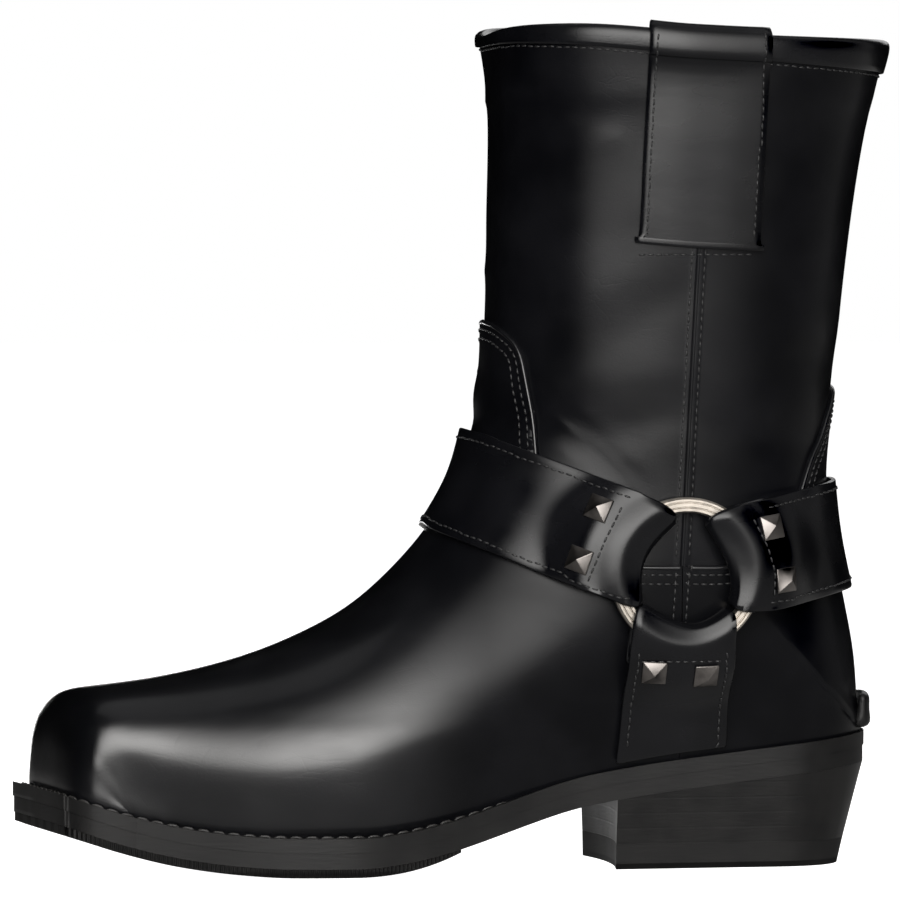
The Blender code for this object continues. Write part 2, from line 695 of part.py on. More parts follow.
def ribbon(name, centre, thickness, finish):
    """A strap from a grid of points midway through it: rows along it, columns across."""
    normal = np.cross(np.gradient(centre, axis=0), np.gradient(centre, axis=1))
    normal = normal / np.linalg.norm(normal, axis=2, keepdims=True)
    rows, columns = centre.shape[0] - 1, centre.shape[1] - 1
    skins = np.stack([centre + normal * thickness / 2, centre - normal * thickness / 2])

    def vertex(layer, i, j):
        """Number of a point of one face of the strap."""
        return (layer * (rows + 1) + i) * (columns + 1) + j

    faces = []
    for i in range(rows):
        for j in range(columns):
            quad = [(i, j), (i + 1, j), (i + 1, j + 1), (i, j + 1)]
            faces.append([vertex(0, *corner) for corner in quad])
            faces.append([vertex(1, *corner) for corner in reversed(quad)])
        faces.append([vertex(0, i + 1, 0), vertex(0, i, 0), vertex(1, i, 0), vertex(1, i + 1, 0)])
        k = columns
        faces.append([vertex(0, i, k), vertex(0, i + 1, k), vertex(1, i + 1, k), vertex(1, i, k)])
    for j in range(columns):
        k = rows
        faces.append([vertex(0, 0, j), vertex(0, 0, j + 1), vertex(1, 0, j + 1), vertex(1, 0, j)])
        faces.append([vertex(0, k, j + 1), vertex(0, k, j), vertex(1, k, j), vertex(1, k, j + 1)])
    return add_mesh(name, skins.reshape(-1, 3), faces, finish)


def build_binding(form):
    """The rolled binding: a leather strip over the collar's edge."""
    outer = GAP + BINDING_LEATHER
    inner = -UPPER_WALL - outer
    middle = -UPPER_WALL / 2
    bottom = -BINDING_HEIGHT
    under_rim = -BINDING_LEATHER
    profile = (
        (outer, bottom),
        (outer, -BINDING_SHOULDER),
        (middle + BINDING_EDGE, 0.0),
        (middle - BINDING_EDGE, 0.0),
        (inner, -BINDING_SHOULDER),
        (inner, bottom),
        (-UPPER_WALL - GAP, bottom),
        (-UPPER_WALL - GAP, under_rim),
        (GAP, under_rim),
        (GAP, bottom),
    )
    shares = np.linspace(0, 1, COLUMNS + 1)[:-1]
    vertices = []
    for share in shares:
        for out, height in profile:
            station = form.station_below(-height)
            vertices.append(form.point(station, share, out))
    wide = len(profile)
    faces = []
    for i in range(COLUMNS):
        k = (i + 1) % COLUMNS
        for j in range(wide):
            m = (j + 1) % wide
            faces.append([i * wide + j, k * wide + j, k * wide + m, i * wide + m])
    add_mesh("collar_binding", vertices, faces, BLACK_LEATHER)


def build_pull_strap(name, skin, side):
    """A pull strap: sewn outside the shaft, over the binding and down inside."""
    half = PULL_LEATHER / 2
    on_leather = GAP + half
    on_binding = 2 * GAP + BINDING_LEATHER + half
    in_binding = -UPPER_WALL - on_binding - LINING_GAP
    in_leather = -UPPER_WALL - LINING_GAP - half
    top = BINDING_SHOULDER
    step = BINDING_HEIGHT + LINING_GAP + GAP
    middle = -UPPER_WALL / 2
    reach = on_binding - middle
    lip = PULL_OUTSIDE - PULL_LIP_HEIGHT
    path = [(depth, on_leather, 0.0) for depth in (PULL_OUTSIDE, lip, lip - PULL_LEATHER / 2)]
    path += [(depth, on_leather, 0.0) for depth in np.linspace(lip, step + top, CUFF_STEPS)[1:]]
    path += [(step, on_binding, 0.0), (top, on_binding, 0.0)]
    for turn in np.linspace(0, math.pi, TURN_STEPS)[1:-1]:
        rise = (top + PULL_RISE - half) * math.sin(turn)
        path.append((top, middle + reach * math.cos(turn), rise))
    path += [(top, in_binding, 0.0), (step, in_binding, 0.0), (step + top, in_leather, 0.0)]
    path += [(depth, in_leather, 0.0) for depth in np.linspace(step + top, PULL_INSIDE, TAIL_STEPS)[1:]]
    across = np.linspace(-1, 1, PULL_ACROSS)
    centre = []
    for number, (depth, out, rise) in enumerate(path):
        width = PULL_WIDTH / 2 + (PULL_LIP_WIDTH if number < 2 else 0.0)
        share = depth / PULL_OUTSIDE if out > 0 else 0.0
        middle_x = PULL_X_TOP + (PULL_X_BOTTOM - PULL_X_TOP) * share
        row = []
        for place in across:
            x = middle_x + place * width
            point = skin.beside(x, skin.rim_height(x, side) - depth, side, out)
            row.append(point + (0.0, 0.0, rise))
        centre.append(row)
    return ribbon(name, np.array(centre), PULL_LEATHER, BLACK_LEATHER)


class Harness:
    """The harness on one side: its ring and the straps that fold round it."""

    def __init__(self, skin, side):
        self.skin = skin
        self.side = side
        self.half = HARNESS_LEATHER / 2
        self.base = GAP + OVERLAY_LEATHER + HARNESS_CLEARANCE + self.half
        self.lift = RING_THICKNESS / 2 + GAP + self.half
        places = [self.fold_place(row) for fold in (FRONT_FOLD, BACK_FOLD, SIDE_FOLD) for row in fold]
        widest = max(abs(skin.beside(x, height, side)[1]) for x, height in places)
        self.level = widest + self.base + self.lift

    def fold_place(self, row):
        """Length and height of a place that a strap folds at."""
        turn = math.radians(row.turn)
        reach = row.reach * RING_RADIUS
        return RING_X + reach * math.cos(turn), RING_HEIGHT + reach * math.sin(turn)

    def layer(self, place, above):
        """A point midway through a strap: its outer layer (1) or its tail (-1) at a place on the skin.

        place gives the surface's point for a distance out. Near the ring the strap keeps to the ring's
        plane, further off to the skin.
        """
        foot = place(0.0)
        reach = math.hypot(foot[0] - RING_X, foot[2] - RING_HEIGHT)
        near = np.clip((RING_FREE - reach) / (RING_FREE - RING_HOLD), 0, 1)
        near = near * near * (3 - 2 * near)
        doubled = np.clip((TAIL_END + TAIL_FADE - reach) / TAIL_FADE, 0, 1) if above > 0 else 0.0
        far = place(self.base + doubled * (HARNESS_LEATHER + GAP))
        flat = np.array([foot[0], self.side * (self.level + above * self.lift), foot[2]])
        return far * (1 - near) + flat * near

    def fold(self, fold):
        """The rows of points round the ring, from the outer layer to the tail."""
        rows = []
        for turn in np.linspace(0, math.pi, FOLD_ROWS + 2)[1:-1]:
            row = []
            for point in fold:
                x, height = self.fold_place(point)
                away = np.array([x - RING_X, height - RING_HEIGHT])
                inward = -away / np.linalg.norm(away) * self.lift * math.sin(turn)
                level = self.side * (self.level + self.lift * math.cos(turn))
                row.append(np.array([x + inward[0], level, height + inward[1]]))
            rows.append(row)
        return rows

    def cross_strap(self, table, fold, start):
        """Half of a strap round the front or the back, from its middle at the angle start to its tail."""
        knots = [math.radians(row.angle) for row in table]
        edges = {}
        edges[0] = np.array([row.top for row in table]) * COLLAR_HEIGHT
        edges[2] = np.array([row.bottom for row in table]) * COLLAR_HEIGHT
        edges[1] = (edges[0] + edges[2]) / 2
        ends = []
        for number, row in enumerate(fold):
            x, height = self.fold_place(row)
            point = self.skin.beside(x, height, self.side)
            angle = math.atan2(abs(point[1]), AXIS_X - x)
            ends.append((angle, height - float(smooth_curve(knots, edges[number], angle))))

        def line(number, share):
            """The skin's point for one line of the strap at a share of the way to the fold."""
            angle = start + (ends[number][0] - start) * share
            height = float(smooth_curve(knots, edges[number], angle)) + ends[number][1] * share**TIP_BEND
            return lambda out: self.skin.around(-self.side * angle, height, out)

        shares = np.linspace(0, 1, STRAP_ROWS + 1)
        main_rows = [[self.layer(line(k, share), 1) for k in range(3)] for share in shares]
        tail_shares = np.linspace(1, shares[-1 - TAIL_ROWS], TAIL_ROWS + 1)
        tail = [[self.layer(line(k, share), -1) for k in range(3)] for share in tail_shares]
        return main_rows + self.fold(fold) + tail

    def side_strap(self):
        """The strap from the ring down to the welt."""
        ends = []
        for row, share in zip(SIDE_FOLD, SIDE_STRAP_END):
            x, height = self.fold_place(row)
            x_end = share * LAST_LENGTH - MIDDLE
            ends.append((x, height, x_end, float(seat_height(share)) + SIDE_STRAP_RISE))

        def line(number, share):
            """The skin's point for one line of the strap at a share of the way down."""
            x, height, x_end, end = ends[number]
            x = x + (x_end - x) * share**SIDE_BEND
            return lambda out: self.skin.beside(x, height + (end - height) * share, self.side, out)

        shares = np.linspace(1, 0, SIDE_ROWS + 1)
        main_rows = [[self.layer(line(k, share), 1) for k in range(3)] for share in shares]
        tail_shares = np.linspace(0, SIDE_STRAP_TAIL, TAIL_ROWS)
        tail = [[self.layer(line(k, share), -1) for k in range(3)] for share in tail_shares]
        return main_rows + self.fold(SIDE_FOLD) + tail

    def ring(self, name):
        """The ring: a flat band with its outer edges taken off."""
        inner = RING_RADIUS - RING_BAND
        half = RING_THICKNESS / 2
        section = (
            (inner, -half),
            (inner, half - RING_CHAMFER),
            (inner + RING_CHAMFER, half),
            (RING_RADIUS - RING_CHAMFER, half),
            (RING_RADIUS, half - RING_CHAMFER),
            (RING_RADIUS, -half),
        )
        vertices = []
        for turn in np.linspace(0, 2 * math.pi, RING_STEPS + 1)[:-1]:
            for radius, out in section:
                x = RING_X + radius * math.cos(turn)
                vertices.append((x, self.side * (self.level + out), RING_HEIGHT + radius * math.sin(turn)))
        wide = len(section)
        faces = []
        for i in range(RING_STEPS):
            k = (i + 1) % RING_STEPS
            for j in range(wide):
                m = (j + 1) % wide
                faces.append([i * wide + j, k * wide + j, k * wide + m, i * wide + m])
        add_mesh(name, vertices, faces, RING_NICKEL)


def strap_place(rows, count, row):
    """Length and height of a stud's place on a strap whose first rows are its outer layer."""
    grid = np.array(rows[: count + 1])
    along = row.along * count
    first = min(int(along), count - 1)
    line = grid[first] + (grid[first + 1] - grid[first]) * (along - first)
    across = row.across * (line.shape[0] - 1)
    side = min(int(across), line.shape[0] - 2)
    point = line[side] + (line[side + 1] - line[side]) * (across - side)
    return point[0], point[2]


def build_stud(name, strap, place, row, side):
    """A pyramid stud that sits on the strap under it."""
    points = [vertex.co for vertex in strap.data.vertices]
    tree = BVHTree.FromPolygons(points, [tuple(polygon.vertices) for polygon in strap.data.polygons])

    def land(x, height):
        """The strap's outer face at a place on this side."""
        return np.array(tree.ray_cast((x, side * LAST_LENGTH, height), (0.0, -side, 0.0))[0])

    turn = math.radians(row.turn)
    half = STUD_SIZE / 2
    along = np.array([math.cos(turn), 0.0, math.sin(turn)])
    up = np.array([-math.sin(turn), 0.0, math.cos(turn)])
    centre = land(*place)
    signs = ((1, 1), (-1, 1), (-1, -1), (1, -1))
    landed = []
    for a in STUD_FEET:
        for b in STUD_FEET:
            spot = centre + half * (a * along + b * up)
            landed.append(land(spot[0], spot[2]))
    normal = np.cross(landed[-1] - landed[0], landed[len(STUD_FEET) - 1] - landed[-len(STUD_FEET)])
    normal = normal / np.linalg.norm(normal)
    if normal[1] * side < 0:
        normal = -normal
    across = along - normal * np.dot(along, normal)
    across = across / np.linalg.norm(across)
    rise = np.cross(normal, across)
    level = max(float(np.dot(spot - centre, normal)) for spot in landed) + GAP
    vertices = []
    for height in (level, level + STUD_RIM):
        for a, b in signs:
            vertices.append(centre + normal * height + half * (a * across + b * rise))
    vertices.append(centre + normal * (level + STUD_RIM + STUD_RISE))
    faces = [[3, 2, 1, 0]]
    for k in range(4):
        m = (k + 1) % 4
        faces.append([k, m, 4 + m, 4 + k])
        faces.append([4 + k, 4 + m, 8])
    add_mesh(name, vertices, faces, STUD_METAL)


def build_harness(skin):
    """Rings, straps and studs on both sides."""
    sides = ((Harness(skin, -1), "outer"), (Harness(skin, 1), "inner"))
    straps = {}
    for place, table, fold, start in (
        ("front", FRONT_STRAP, FRONT_FOLD, 0.0),
        ("back", BACK_STRAP, BACK_FOLD, math.pi),
    ):
        halves = [half.cross_strap(table, fold, start) for half, _ in sides]
        grid = np.array(halves[0][::-1] + halves[1][1:])
        strap = ribbon("harness_" + place, grid, HARNESS_LEATHER, BLACK_LEATHER)
        for rows, (half, _) in zip(halves, sides):
            straps[(place, half.side)] = (strap, rows, STRAP_ROWS)
    for half, word in sides:
        rows = half.side_strap()
        strap = ribbon("harness_side_" + word, np.array(rows), HARNESS_LEATHER, BLACK_LEATHER)
        straps[("side", half.side)] = (strap, rows, SIDE_ROWS)
        half.ring("ring_" + word)
        for number, row in enumerate(STUDS, start=1):
            strap, rows, count = straps[(row.strap, half.side)]
            name = "stud_" + row.strap + "_" + word + "_" + str(number)
            build_stud(name, strap, strap_place(rows, count, row), row, half.side)


def build_ledge(skin):
    """The small ledge on the back of the heel."""
    out = 2 * GAP + OVERLAY_LEATHER + HARNESS_CLEARANCE + LEDGE_THICKNESS / 2
    angles = np.linspace(math.pi - LEDGE_ANGLE, math.pi + LEDGE_ANGLE, LEDGE_ROWS + 1)
    low = float(seat_height(1.0)) + LEDGE_RISE
    heights = np.linspace(low, low + LEDGE_HEIGHT, LEDGE_STEPS)
    grid = [[skin.around(angle, height, out) for height in heights] for angle in angles]
    ribbon("heel_ledge", np.array(grid), LEDGE_THICKNESS, EDGE_LEATHER)


class SolePlan:
    """The seat line's outline in the unswung last, and outlines set out from it."""

    def __init__(self, form):
        self.halves = {}
        middle = DENSE_COLUMNS // 2
        heel_row = int(form.heel_station * DENSE_ROWS)
        for side in (-1, 1):
            edge = 0 if side < 0 else DENSE_COLUMNS
            toe = form.straight[0]
            front = toe[middle:] if side > 0 else toe[middle::-1]
            back = form.straight[1 : heel_row + 1, edge]
            self.halves[side] = np.concatenate([front[:, :2], back[:, :2]]) * (1, side)

    def outline(self, side, edge, rungs, start, end):
        """One half of an outline, evenly turned, from the toe's corner or a cut to the heel or a cut."""
        line = self.halves[side]
        step = np.gradient(line, axis=0)
        step = step / np.maximum(np.linalg.norm(step, axis=1, keepdims=True), SMALLEST)
        outward = np.stack([-step[:, 1], step[:, 0]], axis=1)
        share = line[:, 0] / LAST_LENGTH
        blend = np.clip((share - WAIST_START) / (WAIST_END - WAIST_START), 0, 1)
        margin = edge.welt * (WELT_MARGIN_TOE * (1 - blend) + WELT_MARGIN_HEEL * blend) - edge.inset
        facing = outward[:, :1] ** 2
        slope = HEEL_SIDE_TAPER + (HEEL_BACK_SLOPE - HEEL_SIDE_TAPER) * facing[:, 0]
        taper = edge.depth * slope
        line = line + outward * (margin - taper)[:, None]
        line[:, 1] = np.maximum(line[:, 1], 0.0)
        keep = np.ones(len(line), bool)
        if start is None:
            corner = FRONT_FLAT * line[:, 1][np.argmin(np.abs(line[:, 0] - CORNER_DEPTH * LAST_LENGTH))]
            keep &= np.cumsum(line[:, 1] >= corner) > 0
        else:
            keep &= line[:, 0] >= start
        if end is None:
            keep &= (line[:, 1] >= HEEL_FLAT) | (share < 0.5)
        else:
            keep &= line[:, 0] <= end
        line = line[keep]
        for cut, place in ((start, 0), (end, -1)):
            if cut is not None:
                line[place] = (cut, line[place, 1])
        move = np.diff(line, axis=0)
        length = np.linalg.norm(move, axis=1)
        heading = np.unwrap(np.arctan2(move[:, 1], move[:, 0]))
        turn = np.concatenate([[0.0], np.abs(np.diff(heading))])
        weight = np.concatenate([[0.0], np.cumsum(length / RUNG_SPACING + turn / RUNG_TURN)])
        wanted = np.linspace(0, weight[-1], rungs + 1)
        x = np.interp(wanted, weight, line[:, 0])
        y = side * np.interp(wanted, weight, line[:, 1])
        return np.stack([x, y], axis=1)


Edge = namedtuple("Edge", "welt inset depth")
WELT_EDGE = Edge(1.0, 0.0, 0.0)
OUTSOLE_EDGE = Edge(1.0, OUTSOLE_SET_IN, 0.0)
HALF_SOLE_EDGES = Edge(1.0, HALF_SOLE_SET_IN, 0.0)
INSOLE_EDGE = Edge(0.0, UPPER_WALL + INSOLE_CLEARANCE, 0.0)


def plate(name, plan, top, bottom, edges, finish, start=None, end=None, heel=False):
    """A layer of the sole: rungs from side to side, from the toe to the heel.

    top and bottom give a height for a share of the length from the toe. edges are the outlines of the
    two faces: the share of the welt's margin, the inset and the depth that the heel has tapered by.
    A heel's front edge curves back at its middle.
    """
    columns = HEEL_ACROSS if heel else SOLE_ACROSS
    rungs = HEEL_RUNGS if heel else SOLE_RUNGS
    hollow = BREAST_HOLLOW if heel else 0.0
    across = np.linspace(0, 1, columns + 1)
    layers = []
    for height, edge in zip((top, bottom), edges):
        outer = plan.outline(-1, edge, rungs, start, end)
        inner = plan.outline(1, edge, rungs, start, end)
        xy = outer[:, None] * (1 - across)[None, :, None] + inner[:, None] * across[None, :, None]
        fade = np.clip(1 - np.arange(rungs + 1) / HOLLOW_RUNGS, 0, 1)
        xy[..., 0] += hollow * fade[:, None] * (1 - (2 * across - 1) ** 2)[None, :]
        z = height(xy[..., 0] / LAST_LENGTH)
        layers.append(swing(np.concatenate([xy, z[..., None]], axis=2)))
    wide = columns + 1
    vertices = np.concatenate([layers[0].reshape(-1, 3), layers[1].reshape(-1, 3)])
    lower = (rungs + 1) * wide
    faces = []
    for i in range(rungs):
        for k in range(columns):
            a = i * wide + k
            faces.append([a, a + wide, a + wide + 1, a + 1])
            faces.append([lower + a, lower + a + 1, lower + a + wide + 1, lower + a + wide])
        first = i * wide
        last = first + columns
        faces.append([first, lower + first, lower + first + wide, first + wide])
        faces.append([last, last + wide, lower + last + wide, lower + last])
    for k in range(columns):
        a = rungs * wide + k
        faces.append([k, k + 1, lower + k + 1, lower + k])
        faces.append([a + 1, a, lower + a, lower + a + 1])
    return add_mesh(name, vertices, faces, finish)


def build_sole(plan):
    """Insole, welt, outsole, half sole, heel stack and heel lift."""
    welt_bottom = WELT_THICKNESS
    outsole_top = welt_bottom + GAP
    outsole_bottom = outsole_top + OUTSOLE_THICKNESS
    half_top = outsole_bottom + GAP
    bevel_start = HALF_SOLE_END - HALF_SOLE_BEVEL

    def seat_less(drop):
        """A height function a fixed distance under the seat line."""
        return lambda share: seat_height(share) - drop

    def half_sole_bottom(share):
        """The half sole's underside, thinned out at its end."""
        thin = np.clip((share - bevel_start) / HALF_SOLE_BEVEL, 0, 1)
        thickness = HALF_SOLE_THICKNESS * (1 - (1 - HALF_SOLE_EDGE) * thin)
        return seat_height(share) - half_top - thickness

    def flat(height):
        """A level height."""
        return lambda share: np.full(np.shape(share), height)

    plate("insole", plan, seat_less(-GAP - INSOLE_THICKNESS), seat_less(-GAP),
          (INSOLE_EDGE, INSOLE_EDGE), INSOLE_BOARD)
    plate("welt", plan, seat_less(0.0), seat_less(welt_bottom), (WELT_EDGE, WELT_EDGE), EDGE_LEATHER)
    plate("outsole", plan, seat_less(outsole_top), seat_less(outsole_bottom),
          (OUTSOLE_EDGE, OUTSOLE_EDGE), EDGE_LEATHER)
    plate("half_sole", plan, seat_less(half_top), half_sole_bottom,
          (HALF_SOLE_EDGES, HALF_SOLE_EDGES), SOLE_RUBBER, end=HALF_SOLE_END * LAST_LENGTH)
    breast = LAST_LENGTH + WELT_MARGIN_HEEL - HEEL_LENGTH
    heel_depth = float(seat_height(1.0)) - outsole_bottom
    seam = Edge(1.0, OUTSOLE_SET_IN, heel_depth - HEEL_LIFT_THICKNESS)
    floor_edge = Edge(1.0, OUTSOLE_SET_IN, heel_depth)
    plate("heel_stack", plan, seat_less(outsole_bottom + GAP), flat(HEEL_LIFT_THICKNESS + GAP),
          (OUTSOLE_EDGE, seam), EDGE_LEATHER, start=breast, heel=True)
    plate("heel_lift", plan, flat(HEEL_LIFT_THICKNESS), flat(0.0),
          (seam, floor_edge), SOLE_RUBBER, start=breast, heel=True)


def main():
    """Build every piece of the boot."""
    clear_scene()
    form = Form()
    skin = Skin(form)
    build_overlays(form)
    build_sole(SolePlan(form))
    build_binding(form)
    build_pull_strap("pull_strap_outer", skin, -1)
    build_pull_strap("pull_strap_inner", skin, 1)
    build_harness(skin)
    build_ledge(skin)


main()
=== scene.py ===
"""Looks of the square-toe harness boot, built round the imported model.

The toe points along -X, the outer side of the foot faces -Y and +Z is up. All lengths are in metres.
"""

from __future__ import annotations

import json
import logging
import math
from collections.abc import Callable
from dataclasses import dataclass
from enum import Enum

import bmesh
import bpy
import numpy as np
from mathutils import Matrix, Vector
from mathutils.bvhtree import BVHTree

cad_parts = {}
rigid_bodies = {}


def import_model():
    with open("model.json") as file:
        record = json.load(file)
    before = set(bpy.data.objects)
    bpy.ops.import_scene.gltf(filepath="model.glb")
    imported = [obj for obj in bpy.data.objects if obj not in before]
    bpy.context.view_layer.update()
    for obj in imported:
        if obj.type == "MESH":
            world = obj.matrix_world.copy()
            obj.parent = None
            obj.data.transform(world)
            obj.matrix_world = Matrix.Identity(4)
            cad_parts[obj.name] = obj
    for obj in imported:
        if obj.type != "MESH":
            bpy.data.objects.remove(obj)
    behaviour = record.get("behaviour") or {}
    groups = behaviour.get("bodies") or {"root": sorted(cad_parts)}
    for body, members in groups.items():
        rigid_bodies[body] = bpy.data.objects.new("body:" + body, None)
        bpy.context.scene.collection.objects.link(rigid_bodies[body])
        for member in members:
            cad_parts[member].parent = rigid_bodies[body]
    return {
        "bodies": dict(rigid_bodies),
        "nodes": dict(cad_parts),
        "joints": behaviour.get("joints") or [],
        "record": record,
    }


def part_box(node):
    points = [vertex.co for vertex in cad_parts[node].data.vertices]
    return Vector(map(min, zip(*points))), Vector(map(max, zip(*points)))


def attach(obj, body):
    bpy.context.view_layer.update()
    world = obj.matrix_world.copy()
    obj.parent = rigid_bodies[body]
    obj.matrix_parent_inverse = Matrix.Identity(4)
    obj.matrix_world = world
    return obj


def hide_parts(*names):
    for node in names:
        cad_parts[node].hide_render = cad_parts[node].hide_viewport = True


LOG = logging.getLogger("boot")

# The boot's standing axis, the collar's highest edge, and the side seam's place and lean
AXIS_X = 0.0759
AXIS_Y = 0.00002
RIM_HEIGHT = 0.294
SEAM_X = 0.0701
SEAM_HEIGHT = 0.1064
SEAM_LEAN = 0.0466

# Small sizes of the methods: where rays start, how near corners merge in a copy and after a cut, how
# far a path is lifted before it drops on a surface, and the least length
RAY_START = 0.25
LOOSE_CORNER = 0.00002
CUT_CORNER = 0.00015
HOVER = 0.0006
SMALLEST = 1e-9

# Edges of the vamp's and the counter's tongues: the angle from the front in degrees and the height.
VAMP_EDGE = (
    (0.0, 0.1915), (10.3, 0.1899), (16.4, 0.1872), (20.7, 0.1841), (23.8, 0.1789), (26.2, 0.1678),
    (30.8, 0.1453), (36.0, 0.1200), (42.0, 0.1110), (52.0, 0.1075), (66.0, 0.1067), (82.5, 0.1064),
)
COUNTER_EDGE = (
    (82.9, 0.1064), (105.0, 0.1067), (122.0, 0.1101), (131.0, 0.1186), (139.4, 0.1335), (145.1, 0.1423),
    (154.0, 0.1508), (160.9, 0.1596), (170.0, 0.1660), (180.0, 0.1681),
)

# Soft creases of the upper: the angle from the front, the height, the half length, the slope in degrees,
# the depth and the half width.
CREASES = (
    (14.0, 0.1560, 0.028, 12.0, 0.0006, 0.0052),
    (-18.0, 0.1590, 0.030, -10.0, 0.0006, 0.0052),
    (62.0, 0.1560, 0.024, 16.0, 0.0003, 0.0070),
    (-50.0, 0.1480, 0.026, -16.0, 0.0003, 0.0070),
    (118.0, 0.1520, 0.024, -14.0, 0.0003, 0.0065),
    (150.0, 0.1780, 0.024, -8.0, 0.0003, 0.0070),
    (-140.0, 0.1600, 0.026, 10.0, 0.0004, 0.0065),
    (70.0, 0.1950, 0.022, 30.0, 0.0002, 0.0075),
)

# A line through the hollow of the boot, from the toe to the ankle and up the shaft.
MIDDLE_LINE = ((-0.120, 0.010, 0.034), (0.046, 0.0, 0.060), (0.078, 0.0, 0.115), (0.080, 0.0, 0.300))

# The soft box's glow by its rise over the floor and its turn from the front, both in degrees, the dim
# glow of the far side, and the glow of the sheet on the floor by its place along the boot.
KEY_RISE = (
    (-1.0, 5.0), (4.0, 7.0), (10.0, 9.0), (20.0, 8.6), (30.0, 6.0), (40.0, 3.4), (50.0, 1.6), (60.0, 0.5),
    (70.0, 0.1),
)
KEY_TURN = (
    (-60.0, 0.0), (-42.0, 0.04), (-32.0, 0.7), (-24.0, 1.0), (4.0, 1.0), (14.0, 0.35), (28.0, 0.03),
    (110.0, 0.0),
)
SIDE_TURN = ((-60.0, 0.0), (-20.0, 0.1), (20.0, 0.33), (90.0, 0.33), (110.0, 0.1))
FLOOR_GLOW = ((-2.4, 0.01), (-0.5, 0.03), (-0.1, 0.30), (1.0, 0.33), (2.4, 0.25))


class Part(Enum):
    """Material slots of the record."""

    UPPER = "upper_leather"
    STRAP = "strap_leather"
    INSOLE = "insole_leather"
    EDGE = "sole_edge"
    RUBBER = "sole_rubber"
    RING = "ring_metal"
    STUD = "stud_metal"


class Side(Enum):
    """The foot's two sides; the value is the sign of Y there."""

    OUTER = -1
    INNER = 1

    @property
    def word(self) -> str:
        """The side's name in the model's nodes."""
        return self.name.lower()


class Graph:
    """A material's node tree, built one node at a time."""

    def __init__(self, name: str) -> None:
        """Start a material with a Principled shader.

        Args:
            name: Name of the material.
        """
        self.material = bpy.data.materials.new(name)
        self.material.use_nodes = True
        self.tree = self.material.node_tree
        self.shader = self.tree.nodes["Principled BSDF"]
        self.place = self.add("ShaderNodeTexCoord").outputs["Object"]

    def add(self, kind: str, **settings: object) -> bpy.types.Node:
        """Add a node.

        Args:
            kind: The node's type.
            **settings: Attributes to set on it.

        Returns:
            The new node.
        """
        node = self.tree.nodes.new(kind)
        for key, value in settings.items():
            setattr(node, key, value)
        return node

    def feed(self, node: bpy.types.Node, socket: str | int, value: object) -> None:
        """Set an input or link an output to it.

        Args:
            node: The node that takes the value.
            socket: Its input.
            value: A number, a colour or another node's output.
        """
        if isinstance(value, bpy.types.NodeSocket):
            self.tree.links.new(value, node.inputs[socket])
        else:
            node.inputs[socket].default_value = value

    def shade(self, **values: object) -> None:
        """Set or link the shader's own inputs."""
        for socket, value in values.items():
            self.feed(self.shader, socket.replace("_", " "), value)

    def math(self, operation: str, *values: object) -> bpy.types.NodeSocket:
        """Add a math node.

        Args:
            operation: Name of the operation.
            *values: Its values or outputs.

        Returns:
            The node's output.
        """
        node = self.add("ShaderNodeMath", operation=operation)
        for number, value in enumerate(values):
            self.feed(node, number, value)
        return node.outputs[0]

    def texture(self, kind: str, scale: float, stretch: tuple, **settings: object) -> bpy.types.Node:
        """Add a texture over the piece's own coordinates.

        Args:
            kind: The texture node's type.
            scale: Cycles in a metre.
            stretch: Scale along each axis.
            **settings: Attributes to set on it.

        Returns:
            The texture node.
        """
        mapping = self.add("ShaderNodeMapping")
        self.feed(mapping, "Vector", self.place)
        self.feed(mapping, "Scale", stretch)
        node = self.add(kind, **settings)
        self.feed(node, "Vector", mapping.outputs[0])
        self.feed(node, "Scale", scale)
        return node

    def noise(self, scale: float, detail: float, stretch: tuple = (1, 1, 1)) -> bpy.types.NodeSocket:
        """Add soft noise.

        Args:
            scale: Cycles in a metre.
            detail: Number of finer layers.
            stretch: Scale along each axis.

        Returns:
            The noise value.
        """
        node = self.texture("ShaderNodeTexNoise", scale, stretch)
        self.feed(node, "Detail", detail)
        return node.outputs[0]

    def cells(self, scale: float, stretch: tuple = (1, 1, 1)) -> bpy.types.NodeSocket:
        """Measure the distance to the edges of random cells."""
        return self.texture("ShaderNodeTexVoronoi", scale, stretch, feature="DISTANCE_TO_EDGE").outputs[0]

    def ramp(self, value: object, low: float, high: float, start: float, end: float) -> bpy.types.NodeSocket:
        """Map a value from one range to another, clamped.

        Args:
            value: The value to map.
            low: Lower end of its range.
            high: Upper end of its range.
            start: What the lower end becomes.
            end: What the upper end becomes.

        Returns:
            The mapped value.
        """
        node = self.add("ShaderNodeMapRange", interpolation_type="SMOOTHSTEP")
        for number, item in enumerate((value, low, high, start, end)):
            self.feed(node, number, item)
        return node.outputs[0]

    def axes(self) -> list[bpy.types.NodeSocket]:
        """Split the piece's coordinates.

        Returns:
            The outputs for X, Y and Z.
        """
        node = self.add("ShaderNodeSeparateXYZ")
        self.feed(node, 0, self.place)
        return list(node.outputs)

    def tint(self, dark: tuple, light: tuple, share: object) -> None:
        """Set the base colour between two colours.

        Args:
            dark: Colour at share 0.
            light: Colour at share 1.
            share: The share.
        """
        node = self.add("ShaderNodeMix", data_type="RGBA")
        self.feed(node, 0, share)
        self.feed(node, 6, (*dark, 1.0))
        self.feed(node, 7, (*light, 1.0))
        self.shade(Base_Color=node.outputs[2])

    def bump(self, *layers: tuple[object, float, float]) -> None:
        """Chain bump layers into the shader.

        Args:
            *layers: For each, its height, its strength and its distance.
        """
        last = None
        for height, strength, distance in layers:
            node = self.add("ShaderNodeBump")
            self.feed(node, "Strength", strength)
            self.feed(node, "Distance", distance)
            self.feed(node, "Height", height)
            if last is not None:
                self.feed(node, "Normal", last)
            last = node.outputs[0]
        self.shade(Normal=last)


